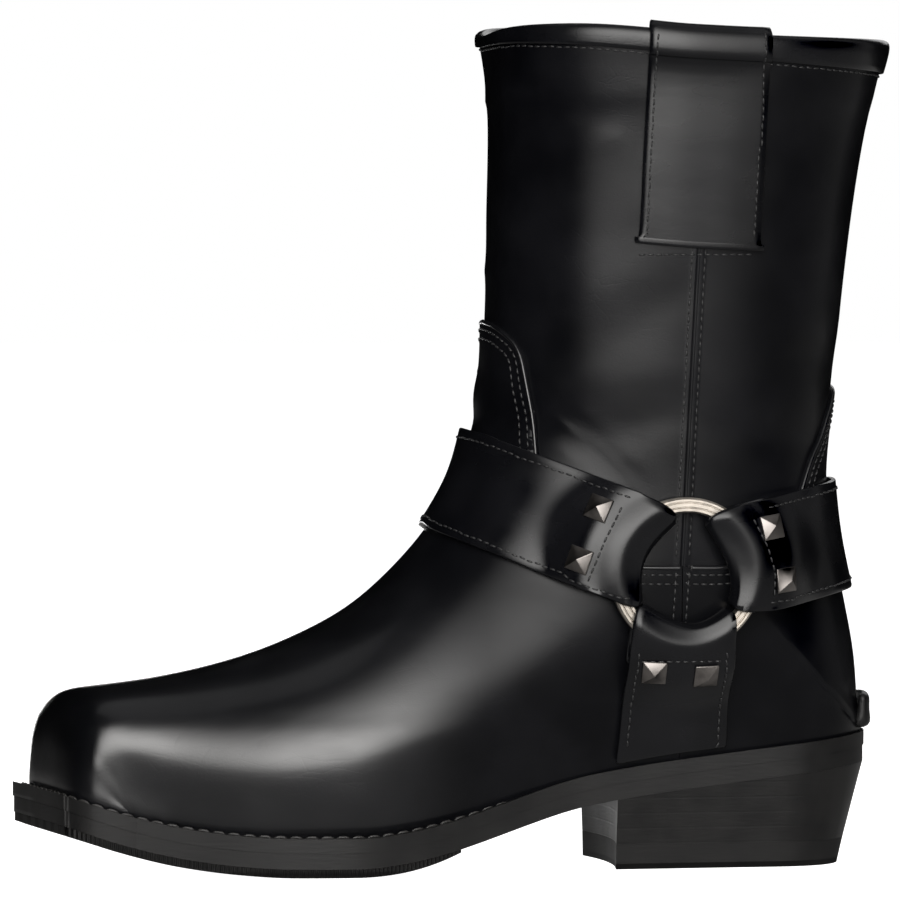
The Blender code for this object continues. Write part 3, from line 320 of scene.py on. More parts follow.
@dataclass(frozen=True)
class Finish:
    """A look that pieces are dressed in."""

    def build(self, name: str) -> bpy.types.Material:
        """Make the material.

        Args:
            name: Name of the material.

        Returns:
            The material.
        """
        graph = Graph(name)
        self.dress(graph)
        return graph.material

    def dress(self, graph: Graph) -> None:
        """Set up the shader; each kind of finish has its own way."""
        raise NotImplementedError


@dataclass(frozen=True)
class Leather(Finish):
    """Polished or matt leather.

    Attributes:
        dark: Colour in the hollows.
        light: Colour on the worn faces.
        rough: Roughness of the polished face.
        coat: Weight of the polish.
        grain: Strength of the fine grain.
        crease: Strength of the hairline creases.
        shine: Level of the mirror reflection.
        fade: Whether the polish fades from the toe to the instep.
        seam: Whether the side seam's groove is pressed into it.
    """

    dark: tuple = (0.0022, 0.0023, 0.0030)
    light: tuple = (0.0055, 0.0056, 0.0068)
    rough: float = 0.31
    coat: float = 0.30
    grain: float = 0.14
    crease: float = 0.07
    shine: float = 0.50
    fade: bool = False
    seam: bool = False

    def dress(self, graph: Graph) -> None:
        """Set up the shader.

        Args:
            graph: The material's tree.
        """
        broad = graph.noise(26.0, 4.0)
        fine = graph.noise(1500.0, 3.0)
        pores = graph.cells(900.0)
        hairs = graph.cells(120.0, (0.55, 1.0, 1.7))
        folds = graph.noise(46.0, 5.0, (0.6, 1.0, 1.5))
        graph.tint(self.dark, self.light, graph.ramp(broad, 0.35, 0.7, 0.0, 1.0))
        coat, shine = self.coat, self.shine
        if self.fade:
            polish = graph.ramp(graph.axes()[0], -0.045, 0.004, 1.0, 0.22)
            coat, shine = (graph.math("MULTIPLY", polish, value) for value in (coat, shine))
        graph.shade(
            Roughness=graph.ramp(folds, 0.4, 0.75, self.rough - 0.03, self.rough + 0.08),
            Coat_Weight=coat,
            Coat_Roughness=0.16,
            Specular_IOR_Level=shine,
        )
        gate = graph.ramp(broad, 0.42, 0.62, 0.0, 1.0)
        line = graph.math("MULTIPLY", graph.ramp(hairs, 0.0, 0.035, -1.0, 0.0), gate)
        seam = [self.side_seam(graph)] if self.seam else []
        grain = [(pores, self.grain * 0.7, 0.00012), (fine, self.grain, 0.00014)]
        graph.bump(*seam, (folds, 0.06, 0.0016), (line, self.crease, 0.00018), *grain)

    @staticmethod
    def side_seam(graph: Graph) -> tuple[bpy.types.NodeSocket, float, float]:
        """Press the side seam: a narrow groove between two low rolls.

        Args:
            graph: The material's tree.

        Returns:
            The height, strength and distance of the bump.
        """
        x, _, z = graph.axes()
        middle = graph.math("MULTIPLY_ADD", z, SEAM_LEAN, SEAM_X - SEAM_LEAN * SEAM_HEIGHT)
        away = graph.math("ABSOLUTE", graph.math("SUBTRACT", x, middle))
        groove = graph.ramp(away, 0.0001, 0.0009, -1.0, 0.0)
        roll = graph.ramp(away, 0.0009, 0.0034, 1.0, 0.0)
        return graph.math("ADD", groove, graph.math("MULTIPLY", roll, 0.5)), 0.6, 0.0007


@dataclass(frozen=True)
class Edge(Finish):
    """Inked leather or rubber edges, with layer lines or ribs.

    Attributes:
        rough: Roughness.
        layers: Layer lines in a metre of height, or 0.
        ribs: Ribs in a metre of length, or 0.
        dark: Colour in the hollows.
        light: Colour on the faces.
    """

    rough: float
    layers: float = 0.0
    ribs: float = 0.0
    dark: tuple = (0.005, 0.005, 0.0054)
    light: tuple = (0.013, 0.0127, 0.0124)

    def dress(self, graph: Graph) -> None:
        """Set up the shader.

        Args:
            graph: The material's tree.
        """
        spots = graph.noise(90.0, 4.0)
        graph.tint(self.dark, self.light, graph.ramp(spots, 0.2, 0.8, 0.2, 0.8))
        wear = graph.ramp(spots, 0.3, 0.7, self.rough - 0.03, self.rough + 0.04)
        graph.shade(Roughness=wear, Specular_IOR_Level=0.22)
        bumps = [(graph.noise(420.0, 4.0, (0.4, 0.4, 2.6)), 0.30, 0.0002)]
        x, _, z = graph.axes()
        if self.layers:
            wave = self.wave(graph, z, self.layers)
            bumps.append((graph.ramp(wave, -1.0, -0.86, 0.0, 1.0), 0.12, 0.0002))
        if self.ribs:
            bumps.append((self.wave(graph, x, self.ribs), 0.9, 0.0005))
        graph.bump(*bumps)

    @staticmethod
    def wave(graph: Graph, place: bpy.types.NodeSocket, count: float) -> bpy.types.NodeSocket:
        """Make a wave along one axis."""
        return graph.math("SINE", graph.math("MULTIPLY", place, count * 2 * math.pi))


@dataclass(frozen=True)
class Metal(Finish):
    """Plated metal with smeared polish.

    Attributes:
        colour: Colour of the plate.
        rough: Roughness.
        wear: Change of roughness from place to place.
    """

    colour: tuple
    rough: float
    wear: float = 0.10

    def dress(self, graph: Graph) -> None:
        """Set up the shader.

        Args:
            graph: The material's tree.
        """
        smear = graph.noise(260.0, 4.0)
        low = tuple(0.72 * value for value in self.colour)
        graph.tint(low, self.colour, graph.ramp(smear, 0.3, 0.65, 0.0, 1.0))
        rough = graph.ramp(smear, 0.3, 0.7, self.rough, self.rough + self.wear)
        graph.shade(Metallic=1.0, Roughness=rough)
        graph.bump((graph.noise(900.0, 2.0), 0.05, 0.00006))


@dataclass(frozen=True)
class Thread(Finish):
    """Waxed thread.

    Attributes:
        colour: Colour of the thread.
        rough: Roughness.
    """

    colour: tuple = (0.020, 0.020, 0.021)
    rough: float = 0.45

    def dress(self, graph: Graph) -> None:
        """Set up the shader.

        Args:
            graph: The material's tree.
        """
        twist = graph.noise(1800.0, 2.0, (1.0, 1.0, 1.6))
        graph.tint(tuple(0.5 * value for value in self.colour), self.colour, twist)
        graph.shade(Roughness=self.rough)
        graph.bump((twist, 0.5, 0.0002))


@dataclass(frozen=True)
class Paper(Finish):
    """The floor's white paper, which shines a little so that it meets the surround.

    Attributes:
        colour: Its colour.
        glow: How strongly it shines.
    """

    colour: tuple = (0.80, 0.80, 0.80)
    glow: float = 1.04

    def dress(self, graph: Graph) -> None:
        """Set up the shader.

        Args:
            graph: The material's tree.
        """
        graph.shade(Base_Color=(*self.colour, 1.0), Roughness=0.9, Specular_IOR_Level=0.1)
        graph.shade(Emission_Color=(1.0, 1.0, 1.0, 1.0), Emission_Strength=self.glow)
        graph.material.cycles.emission_sampling = "NONE"


@dataclass(frozen=True)
class Glow(Finish):
    """Cloth of a soft box: it shines as strongly as its points say.

    Attributes:
        colour: Colour of the light.
    """

    colour: tuple = (1.0, 0.985, 0.965)

    def dress(self, graph: Graph) -> None:
        """Set up the shader.

        Args:
            graph: The material's tree.
        """
        source = graph.add("ShaderNodeAttribute", attribute_name="glow")
        graph.shade(Base_Color=(0.0, 0.0, 0.0, 1.0), Specular_IOR_Level=0.0)
        graph.shade(Emission_Color=(*self.colour, 1.0), Emission_Strength=source.outputs["Fac"])


def make_active(item: bpy.types.Object) -> None:
    """Make an object the only selected and active one.

    Args:
        item: The object.
    """
    deselect()
    item.select_set(True)
    bpy.context.view_layer.objects.active = item


def deselect() -> None:
    """Deselect everything."""
    for item in bpy.context.selected_objects:
        item.select_set(False)


def edit_all(item: bpy.types.Object) -> None:
    """Open an object in edit mode with all of it selected.

    Args:
        item: The object.
    """
    make_active(item)
    bpy.ops.object.mode_set(mode="EDIT")
    bpy.ops.mesh.select_all(action="SELECT")


def close_edit() -> None:
    """Go back to object mode."""
    bpy.ops.object.mode_set(mode="OBJECT")


def mesh_object(name: str, points: np.ndarray, faces: list) -> bpy.types.Object:
    """Make an object from points and faces.

    Args:
        name: Name of the object.
        points: Its points.
        faces: Its faces, as lists of point numbers.

    Returns:
        The object, in the scene.
    """
    mesh = bpy.data.meshes.new(name)
    mesh.from_pydata([tuple(point) for point in np.asarray(points, float)], [], faces)
    mesh.update()
    item = bpy.data.objects.new(name, mesh)
    bpy.context.scene.collection.objects.link(item)
    return item


def turn_outward(item: bpy.types.Object) -> None:
    """Turn an object's faces outward.

    Args:
        item: The object.
    """
    edit_all(item)
    bpy.ops.mesh.normals_make_consistent(inside=False)
    close_edit()


def points_of(mesh: bpy.types.Mesh, kind: str = "co") -> np.ndarray:
    """Read a mesh's points, or their normals.

    Args:
        mesh: The mesh.
        kind: What to read of each point: co or normal.

    Returns:
        An array with a row for each point.
    """
    flat = np.empty(len(mesh.vertices) * 3, np.float32)
    mesh.vertices.foreach_get(kind, flat)
    return flat.reshape(-1, 3).astype(float)


def set_points(mesh: bpy.types.Mesh, points: np.ndarray) -> None:
    """Write a mesh's points."""
    mesh.vertices.foreach_set("co", np.asarray(points, np.float32).ravel())
    mesh.update()


def copy_node(nodes: dict, node: str, name: str) -> bpy.types.Object:
    """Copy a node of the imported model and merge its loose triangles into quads.

    Args:
        nodes: The model's nodes.
        node: The node to copy.
        name: Name of the copy.

    Returns:
        The copy.
    """
    item = bpy.data.objects.new(name, nodes[node].data.copy())
    item.data.materials.clear()
    bpy.context.scene.collection.objects.link(item)
    edit_all(item)
    bpy.ops.mesh.remove_doubles(threshold=LOOSE_CORNER)
    bpy.ops.mesh.tris_convert_to_quads(face_threshold=math.radians(60), shape_threshold=math.radians(60))
    bpy.ops.mesh.normals_make_consistent(inside=False)
    close_edit()
    return item


def apply_modifier(item: bpy.types.Object, kind: str, **settings: object) -> None:
    """Add a modifier and apply it.

    Args:
        item: The object it goes on.
        kind: The modifier's type.
        **settings: Attributes to set on it.
    """
    modifier = item.modifiers.new(kind.lower(), kind)
    for key, value in settings.items():
        setattr(modifier, key, value)
    make_active(item)
    bpy.ops.object.modifier_apply(modifier=modifier.name)


def crease_sharp(item: bpy.types.Object, angle: float, crease: float) -> None:
    """Crease the edges that turn by more than an angle.

    Args:
        item: The object.
        angle: The least turn, in degrees.
        crease: The crease, from 0 to 1.
    """
    work = bmesh.new()
    work.from_mesh(item.data)
    layer = work.edges.layers.float.get("crease_edge") or work.edges.layers.float.new("crease_edge")
    for edge in work.edges:
        if len(edge.link_faces) == 2 and edge.calc_face_angle(0.0) > math.radians(angle):
            edge[layer] = crease
    work.to_mesh(item.data)
    work.free()


def subdivide(item: bpy.types.Object, levels: int, rounds: int = 3) -> None:
    """Subdivide an object into a smooth one that still passes through its points.

    Args:
        item: The object.
        levels: Number of subdivisions.
        rounds: How often the cage is corrected toward its first points.
    """
    first = points_of(item.data)
    modifier = item.modifiers.new("smooth", "SUBSURF")
    modifier.levels = levels
    modifier.render_levels = levels
    cage = first.copy()
    for _ in range(rounds):
        view = bpy.context.evaluated_depsgraph_get()
        view.update()
        reached = points_of(item.evaluated_get(view).to_mesh())[: len(first)]
        cage = cage + (first - reached)
        set_points(item.data, cage)
        item.update_tag()
    make_active(item)
    bpy.ops.object.modifier_apply(modifier=modifier.name)


def smooth_shade(item: bpy.types.Object, angle: float = 38.0) -> None:
    """Shade an object smooth, apart from its sharp edges."""
    make_active(item)
    bpy.ops.object.shade_smooth_by_angle(angle=math.radians(angle))


class Surface:
    """The faces of a piece, met by rays or by the nearest point."""

    def __init__(self, item: bpy.types.Object) -> None:
        """Read the piece's faces."""
        faces = [tuple(polygon.vertices) for polygon in item.data.polygons]
        self.tree = BVHTree.FromPolygons(points_of(item.data).tolist(), faces, epsilon=0.00001)

    def around(self, angle: float, height: float) -> tuple | None:
        """Meet the outer face from outside, toward the boot's standing axis."""
        away = Vector((-math.cos(angle), -math.sin(angle), 0.0))
        return self.meet(Vector((AXIS_X, AXIS_Y, height)) + away * RAY_START, -away)

    def beside(self, x: float, height: float, side: Side) -> tuple | None:
        """Meet the outer face from one side."""
        return self.meet(Vector((x, side.value * RAY_START, height)), Vector((0.0, -side.value, 0.0)))

    def meet(self, start: Vector, way: Vector) -> tuple | None:
        """Meet a face with a ray."""
        place, normal, _, _ = self.tree.ray_cast(start, way)
        return None if place is None else (np.array(place), np.array(normal))

    def nearest(self, point: np.ndarray) -> tuple:
        """Find the nearest point of the piece."""
        place, normal, _, _ = self.tree.find_nearest(Vector(point))
        return np.array(place), np.array(normal)

    def span(self, places: np.ndarray, height: float, side: Side) -> list[float]:
        """List the places along the boot where the piece is met from one side."""
        return [x for x in places if self.beside(x, height, side) is not None]


def curve_value(table: tuple, at: np.ndarray) -> np.ndarray:
    """Read a table of two columns with a smooth curve.

    Args:
        table: Rows of a place and a value.
        at: Places to read.

    Returns:
        The values.
    """
    knots, values = np.array(table, float).T
    slopes = np.diff(values) / np.diff(knots)
    tangents = np.concatenate([[slopes[0]], (slopes[1:] + slopes[:-1]) / 2, [slopes[-1]]])
    tangents[1:-1][slopes[1:] * slopes[:-1] <= 0] = 0.0
    at = np.clip(at, knots[0], knots[-1])
    span = np.clip(np.searchsorted(knots, at, side="right") - 1, 0, len(slopes) - 1)
    width = knots[span + 1] - knots[span]
    t = (at - knots[span]) / width
    return (
        (2 * t**3 - 3 * t**2 + 1) * values[span]
        + (t**3 - 2 * t**2 + t) * tangents[span] * width
        + (3 * t**2 - 2 * t**3) * values[span + 1]
        + (t**3 - t**2) * tangents[span + 1] * width
    )


def unit(vectors: np.ndarray) -> np.ndarray:
    """Scale vectors to length one."""
    return vectors / np.maximum(np.linalg.norm(vectors, axis=-1, keepdims=True), SMALLEST)


def distances(path: np.ndarray) -> np.ndarray:
    """Measure how far along a path each point lies."""
    return np.concatenate([[0.0], np.cumsum(np.linalg.norm(np.diff(path, axis=0), axis=1))])


def evened(path: np.ndarray, width: int) -> np.ndarray:
    """Even out a path.

    Args:
        path: Its points.
        width: Number of neighbours that each point is mixed from, an odd number.

    Returns:
        The evened points.
    """
    kernel = np.hanning(width) / np.hanning(width).sum()
    padded = np.pad(path, ((width // 2, width // 2), (0, 0)), mode="edge")
    return np.stack([np.convolve(padded[:, k], kernel, mode="valid") for k in range(3)], axis=1)


def trace(hits: list[tuple | None]) -> tuple[np.ndarray, np.ndarray]:
    """Collect the points that rays met."""
    met = [hit for hit in hits if hit is not None]
    return np.array([hit[0] for hit in met]), np.array([hit[1] for hit in met])


def inset(surface: Surface, path: np.ndarray, normals: np.ndarray, distance: float) -> tuple:
    """Move a path sideways over a surface."""
    aside = unit(np.cross(normals, unit(np.gradient(path, axis=0))))
    return trace([surface.nearest(point) for point in path + aside * distance + normals * HOVER])


@dataclass(frozen=True)
class Seam:
    """A row of stitches.

    Attributes:
        pitch: Distance from stitch to stitch.
        length: Length of one stitch.
        width: Width of one stitch.
        sink: How deep it lies in the leather, as a share of its width.
    """

    pitch: float = 0.0029
    length: float = 0.0023
    width: float = 0.00072
    sink: float = 0.12

    def template(self) -> tuple[np.ndarray, list]:
        """Model one stitch: a short thread that dips at both ends.

        Returns:
            Its points, along X and standing along Z, and its faces.
        """
        deselect()
        bpy.ops.mesh.primitive_uv_sphere_add(segments=6, ring_count=6, radius=0.5)
        made = bpy.context.active_object
        points = points_of(made.data)[:, [2, 0, 1]]
        faces = [list(polygon.vertices) for polygon in made.data.polygons]
        bpy.data.objects.remove(made, do_unlink=True)
        full = np.sqrt(np.clip(1 - (2 * points[:, 0]) ** 4, 0, 1))
        thin = np.maximum(np.linalg.norm(points[:, 1:], axis=1), 1e-6)
        points[:, 1:] = points[:, 1:] / thin[:, None] * (full * 0.5 * (thin > 1e-5))[:, None]
        points = points * (self.length, self.width, self.width * 0.8)
        points[:, 2] += self.width * (0.4 - self.sink - 0.5 * (2 * points[:, 0] / self.length) ** 4)
        return points, faces

    def sew(self, name: str, rows: list[tuple[np.ndarray, np.ndarray]]) -> bpy.types.Object:
        """Sew stitches along paths.

        Args:
            name: Name of the object.
            rows: For each path, its points and the surface's normals there.

        Returns:
            One object with all the stitches.
        """
        shape, shape_faces = self.template()
        points, faces = [], []
        for path, normals in rows:
            for frame in self.frames(path, normals):
                start = len(points) * len(shape)
                points.append(frame[0] + shape @ frame[1:])
                faces.extend([[start + k for k in face] for face in shape_faces])
        item = mesh_object(name, np.concatenate(points), faces)
        item.data.shade_smooth()
        return item

    def frames(self, path: np.ndarray, normals: np.ndarray, nudge: float = 0.0008) -> list[np.ndarray]:
        """Place the stitches of one row.

        Args:
            path: The row's points.
            normals: The surface's normals there.
            nudge: How far each way the row's direction is measured.

        Returns:
            For each stitch, its place and its three axes.
        """
        reach = distances(path) if len(path) > 1 else np.zeros(1)
        number = int(reach[-1] / self.pitch)
        start = (reach[-1] - (number - 1) * self.pitch) / 2
        frames = []
        for place in start + self.pitch * np.arange(number):
            behind, spot, ahead = (
                np.array([np.interp(place + step, reach, path[:, k]) for k in range(3)])
                for step in (-nudge, 0.0, nudge)
            )
            normal = unit(np.array([np.interp(place, reach, normals[:, k]) for k in range(3)]))
            along = ahead - behind
            along = unit(along - normal * np.dot(along, normal))
            frames.append(np.stack([spot, along, np.cross(normal, along), normal]))
        return frames


def bead(path: np.ndarray, normals: np.ndarray, radius: float, sides: int = 8) -> np.ndarray:
    """Lay rings of points round a path, half sunk into the leather.

    Args:
        path: The path's points.
        normals: The surface's normals there.
        radius: The bead's radius.
        sides: Number of points in a ring.

    Returns:
        An array of rings.
    """
    even = evened(path, 7)
    along = unit(np.gradient(even, axis=0))
    across = unit(np.cross(normals, along))
    up = np.cross(along, across)
    turn = np.linspace(0, 2 * math.pi, sides, endpoint=False)
    ring = across[:, None] * np.cos(turn)[None, :, None] + up[:, None] * np.sin(turn)[None, :, None]
    return (even - up * radius * 0.62)[:, None] + ring * radius


def tube(name: str, beads: list[np.ndarray]) -> bpy.types.Object:
    """Skin rings of points into closed tubes.

    Args:
        name: Name of the object.
        beads: For each tube, its rings.

    Returns:
        One object with all the tubes.
    """
    faces, count = [], 0
    for grid in beads:
        rings, sides = grid.shape[:2]
        for i in range(rings - 1):
            a, b = count + i * sides, count + (i + 1) * sides
            faces.extend([a + j, a + (j + 1) % sides, b + (j + 1) % sides, b + j] for j in range(sides))
        faces.append([count + j for j in reversed(range(sides))])
        faces.append([count + (rings - 1) * sides + j for j in range(sides)])
        count += rings * sides
    item = mesh_object(name, np.concatenate([grid.reshape(-1, 3) for grid in beads]), faces)
    turn_outward(item)
    item.data.shade_smooth()
    return item


class Wardrobe:
    """Gives pieces their materials and body."""

    def __init__(self) -> None:
        """Start with no finished pieces."""
        self.materials: dict[str, bpy.types.Material] = {}

    def finish(self, item: bpy.types.Object, look: Finish, name: str, slot: Part, *stands_for: str) -> None:
        """Give a piece its look and its place in the model.

        Args:
            item: The piece.
            look: A finish that can build a material.
            name: Name of the material.
            slot: The record's slot; not used.
            *stands_for: Nodes that the piece is shown in place of.
        """
        if name not in self.materials:
            self.materials[name] = look.build(name)
        item.data.materials.clear()
        item.data.materials.append(self.materials[name])
        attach(item, "root")
        if stands_for:
            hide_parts(*stands_for)
        LOG.info("%s in %s", item.name, name)


@dataclass
class Upper:
    """The hollow upper, and the vamp and the counter over it.

    Attributes:
        nodes: The model's nodes.
        wardrobe: Dresses the pieces.
        even_zone: Heights between which the skin is evened.
        rise: Height of an overlay's face over the upper's.
        sink: Depth of an overlay's back under the upper's face.
        rows: Distances of the stitch rows from an overlay's edge.
        seam_half: Distance of a stitch row from the side seam.
        seam_foot: Height where the side seam's stitches start.
        seam_top: Height where they end under the pull strap.
        turned: Radius of an overlay's turned edge.
    """

    nodes: dict
    wardrobe: Wardrobe
    even_zone: tuple = (0.052, 0.268)
    rise: float = 0.0016
    sink: float = 0.0009
    rows: tuple = (0.0024, 0.0056)
    seam_half: float = 0.0023
    seam_foot: float = 0.0700
    seam_top: float = 0.2180
    turned: float = 0.0008

    def build(self) -> Surface:
        """Build and dress the upper.

        Returns:
            The upper's own surface, for what is sewn to it.
        """
        upper = copy_node(self.nodes, "upper", "boot_upper")
        subdivide(upper, 2)
        self.relax(upper)
        points, normals = points_of(upper.data), points_of(upper.data, "normal")
        outer = self.faces_out(points, normals)
        set_points(upper.data, self.creased(points, normals, outer))
        smooth_shade(upper)
        skin = Surface(upper)
        look = Leather(seam=True, shine=0.14, coat=0.08)
        self.wardrobe.finish(upper, look, "shaft_leather", Part.UPPER, "upper")
        self.line(upper, outer)
        rows, edges = [], []
        for name, table, away in (("vamp", VAMP_EDGE, -1), ("counter", COUNTER_EDGE, 1)):
            piece = self.overlay(upper, outer, "boot_" + name, table)
            self.wardrobe.finish(piece, Leather(fade=True), "vamp_leather", Part.UPPER, name)
            surface = Surface(piece)
            for side in Side:
                foot = np.linspace(self.seam_foot, SEAM_HEIGHT - 0.0012, 20)
                rows.append(self.seam_row(surface, foot, side, away))
                path, facing = self.edge_path(surface, table, side)
                edges.append(bead(path, facing, self.turned))
                rows.extend(inset(surface, path, facing, side.value * step) for step in self.rows)
        shaft = np.linspace(SEAM_HEIGHT + 0.002, self.seam_top, 40)
        for side in Side:
            rows.extend(self.seam_row(skin, shaft, side, away) for away in (-1, 1))
        look = Leather(rough=0.36)
        self.wardrobe.finish(tube("turned_edges", edges), look, "turned_edge", Part.UPPER)
        self.wardrobe.finish(Seam().sew("upper_stitches", rows), Thread(), "upper_thread", Part.UPPER)
        return skin

    def line(self, upper: bpy.types.Object, outer: np.ndarray) -> None:
        """Give the upper's inside its lining.

        Args:
            upper: The upper.
            outer: True for the points of its outer skin.
        """
        lining = Leather((0.012, 0.011, 0.010), (0.024, 0.022, 0.020), rough=0.62, coat=0.0, grain=0.3)
        upper.data.materials.append(lining.build("lining_leather"))
        for polygon in upper.data.polygons:
            if not outer[list(polygon.vertices)].any():
                polygon.material_index = 1

    def relax(self, upper: bpy.types.Object) -> None:
        """Even out the skin away from the seat and the collar.

        Args:
            upper: The upper.
        """
        height = points_of(upper.data)[:, 2]
        low, high = self.even_zone
        edit_all(upper)
        bpy.ops.mesh.select_all(action="DESELECT")
        close_edit()
        upper.data.vertices.foreach_set("select", (height > low) & (height < high))
        bpy.ops.object.mode_set(mode="EDIT")
        bpy.ops.mesh.select_mode(type="VERT")
        bpy.ops.mesh.vertices_smooth(factor=0.5, repeat=14)
        close_edit()

    @staticmethod
    def faces_out(points: np.ndarray, normals: np.ndarray) -> np.ndarray:
        """Tell the outer skin from the lining.

        Args:
            points: The upper's points.
            normals: Their normals.

        Returns:
            True for each point of the outer skin.
        """
        middle = np.array(MIDDLE_LINE)
        best = np.full(len(points), np.inf)
        away = np.zeros_like(points)
        for a, b in zip(middle[:-1], middle[1:]):
            share = np.clip(((points - a) @ (b - a)) / np.dot(b - a, b - a), 0, 1)
            gap = points - (a + share[:, None] * (b - a))
            size = np.linalg.norm(gap, axis=1)
            closer = size < best
            best[closer] = size[closer]
            away[closer] = gap[closer]
        return (away * normals).sum(axis=1) > 0

    @staticmethod
    def creased(points: np.ndarray, normals: np.ndarray, outer: np.ndarray) -> np.ndarray:
        """Press the soft creases into the skin, with a low ridge beside each.

        Args:
            points: The upper's points.
            normals: Their normals.
            outer: True for the outer skin.

        Returns:
            The moved points.
        """
        angle = np.arctan2(-points[:, 1], AXIS_X - points[:, 0])
        depth = np.zeros(len(points))
        for turn, height, reach, slope, deep, wide in CREASES:
            along = (angle - math.radians(turn)) * 0.05
            up = points[:, 2] - height
            lean = math.radians(slope)
            u = along * math.cos(lean) + up * math.sin(lean)
            v = up * math.cos(lean) - along * math.sin(lean)
            trough = np.exp(-((v / wide) ** 2))
            ridge = np.exp(-(((v - 2.1 * wide) / wide) ** 2))
            depth += deep * np.exp(-((u / reach) ** 4)) * (0.55 * ridge - trough)
        return points + normals * (depth * np.where(outer, 1.0, -1.0))[:, None]

    @staticmethod
    def fan(name: str, table: tuple, climb: float = 0.0006, turn: float = 1.4) -> bpy.types.Object:
        """Make a cutter: all that lies under an edge's height, between its angles on both sides.

        Args:
            name: Name of the cutter.
            table: The edge's angles and heights.
            climb: Greatest change of height in one step.
            turn: Greatest change of angle in one step, in degrees.

        Returns:
            The cutter.
        """
        fine = np.linspace(table[0][0], table[-1][0], 4000)
        steps = np.abs(np.diff(curve_value(table, fine))) / climb + np.diff(fine) / turn
        reach = np.concatenate([[0.0], np.cumsum(steps)])
        half = np.radians(np.interp(np.linspace(0, reach[-1], int(reach[-1]) + 2), reach, fine))
        mirrored = -half if table[0][0] == 0.0 else 2 * math.pi - half
        angles = np.unique(np.concatenate([mirrored, half]))
        turns = np.degrees(np.minimum(np.abs(angles), 2 * math.pi - np.abs(angles)))
        points = []
        for angle, top in zip(angles, curve_value(table, turns)):
            for radius in (0.008, 0.300):
                x, y = AXIS_X - radius * math.cos(angle), -radius * math.sin(angle)
                points.extend([(x, y, -0.01), (x, y, top)])
        last = 4 * (len(angles) - 1)
        faces = [[0, 1, 3, 2]]
        for a in range(0, last, 4):
            faces.extend([[a + j, a + 4 + j, a + 4 + k, a + k] for j, k in ((0, 1), (1, 3), (3, 2), (2, 0))])
        faces.append([last + 2, last + 3, last + 1, last])
        cutter = mesh_object(name, np.array(points), faces)
        turn_outward(cutter)
        return cutter

    def overlay(
        self, upper: bpy.types.Object, outer: np.ndarray, name: str, table: tuple
    ) -> bpy.types.Object:
        """Cut an overlay from a thickened copy of the skin.

        Args:
            upper: The upper.
            outer: True for the points of its outer skin.
            name: Name of the overlay.
            table: Its edge.

        Returns:
            The overlay.
        """
        item = bpy.data.objects.new(name, upper.data.copy())
        bpy.context.scene.collection.objects.link(item)
        move = np.where(outer, self.rise, -self.sink)
        set_points(item.data, points_of(item.data) + points_of(item.data, "normal") * move[:, None])
        cutter = self.fan(name + "_cutter", table)
        apply_modifier(item, "BOOLEAN", operation="INTERSECT", solver="EXACT", object=cutter)
        bpy.data.objects.remove(cutter, do_unlink=True)
        edit_all(item)
        bpy.ops.mesh.remove_doubles(threshold=CUT_CORNER)
        close_edit()
        smooth_shade(item)
        return item

    def edge_path(self, surface: Surface, table: tuple, side: Side, drop: float = 0.0006) -> tuple:
        """Follow an overlay's edge on one side.

        Args:
            surface: The overlay's surface.
            table: Its edge.
            side: The side.
            drop: How far under the edge the path runs.

        Returns:
            The path's points and normals.
        """
        angles = np.linspace(table[0][0], table[-1][0], 90)
        heights = curve_value(table, angles) - drop
        return trace([surface.around(a, h) for a, h in zip(-side.value * np.radians(angles), heights)])

    def seam_row(self, surface: Surface, heights: np.ndarray, side: Side, away: int) -> tuple:
        """Trace a stitch row along the side seam."""
        places = SEAM_X + SEAM_LEAN * (heights - SEAM_HEIGHT) + away * self.seam_half
        return trace([surface.beside(x, z, side) for x, z in zip(places, heights)])


def strap_copy(
    nodes: dict, wardrobe: Wardrobe, node: str, levels: int, shape: Callable | None = None
) -> bpy.types.Object:
    """Make a strap's visible form from its node: smooth along it, with soft cut edges.

    Args:
        nodes: The model's nodes.
        wardrobe: Dresses the strap.
        node: The strap's node.
        levels: Number of subdivisions.
        shape: A function that shapes the smooth strap, if any.

    Returns:
        The strap.
    """
    strap = copy_node(nodes, node, "boot_" + node)
    crease_sharp(strap, 60.0, 0.72)
    subdivide(strap, levels)
    if shape is not None:
        shape(strap)
    smooth_shade(strap, 50.0)
    look = Leather(rough=0.26, coat=0.16, grain=0.10, crease=0.0, shine=0.24)
    wardrobe.finish(strap, look, "harness_leather", Part.STRAP, node)
    return strap


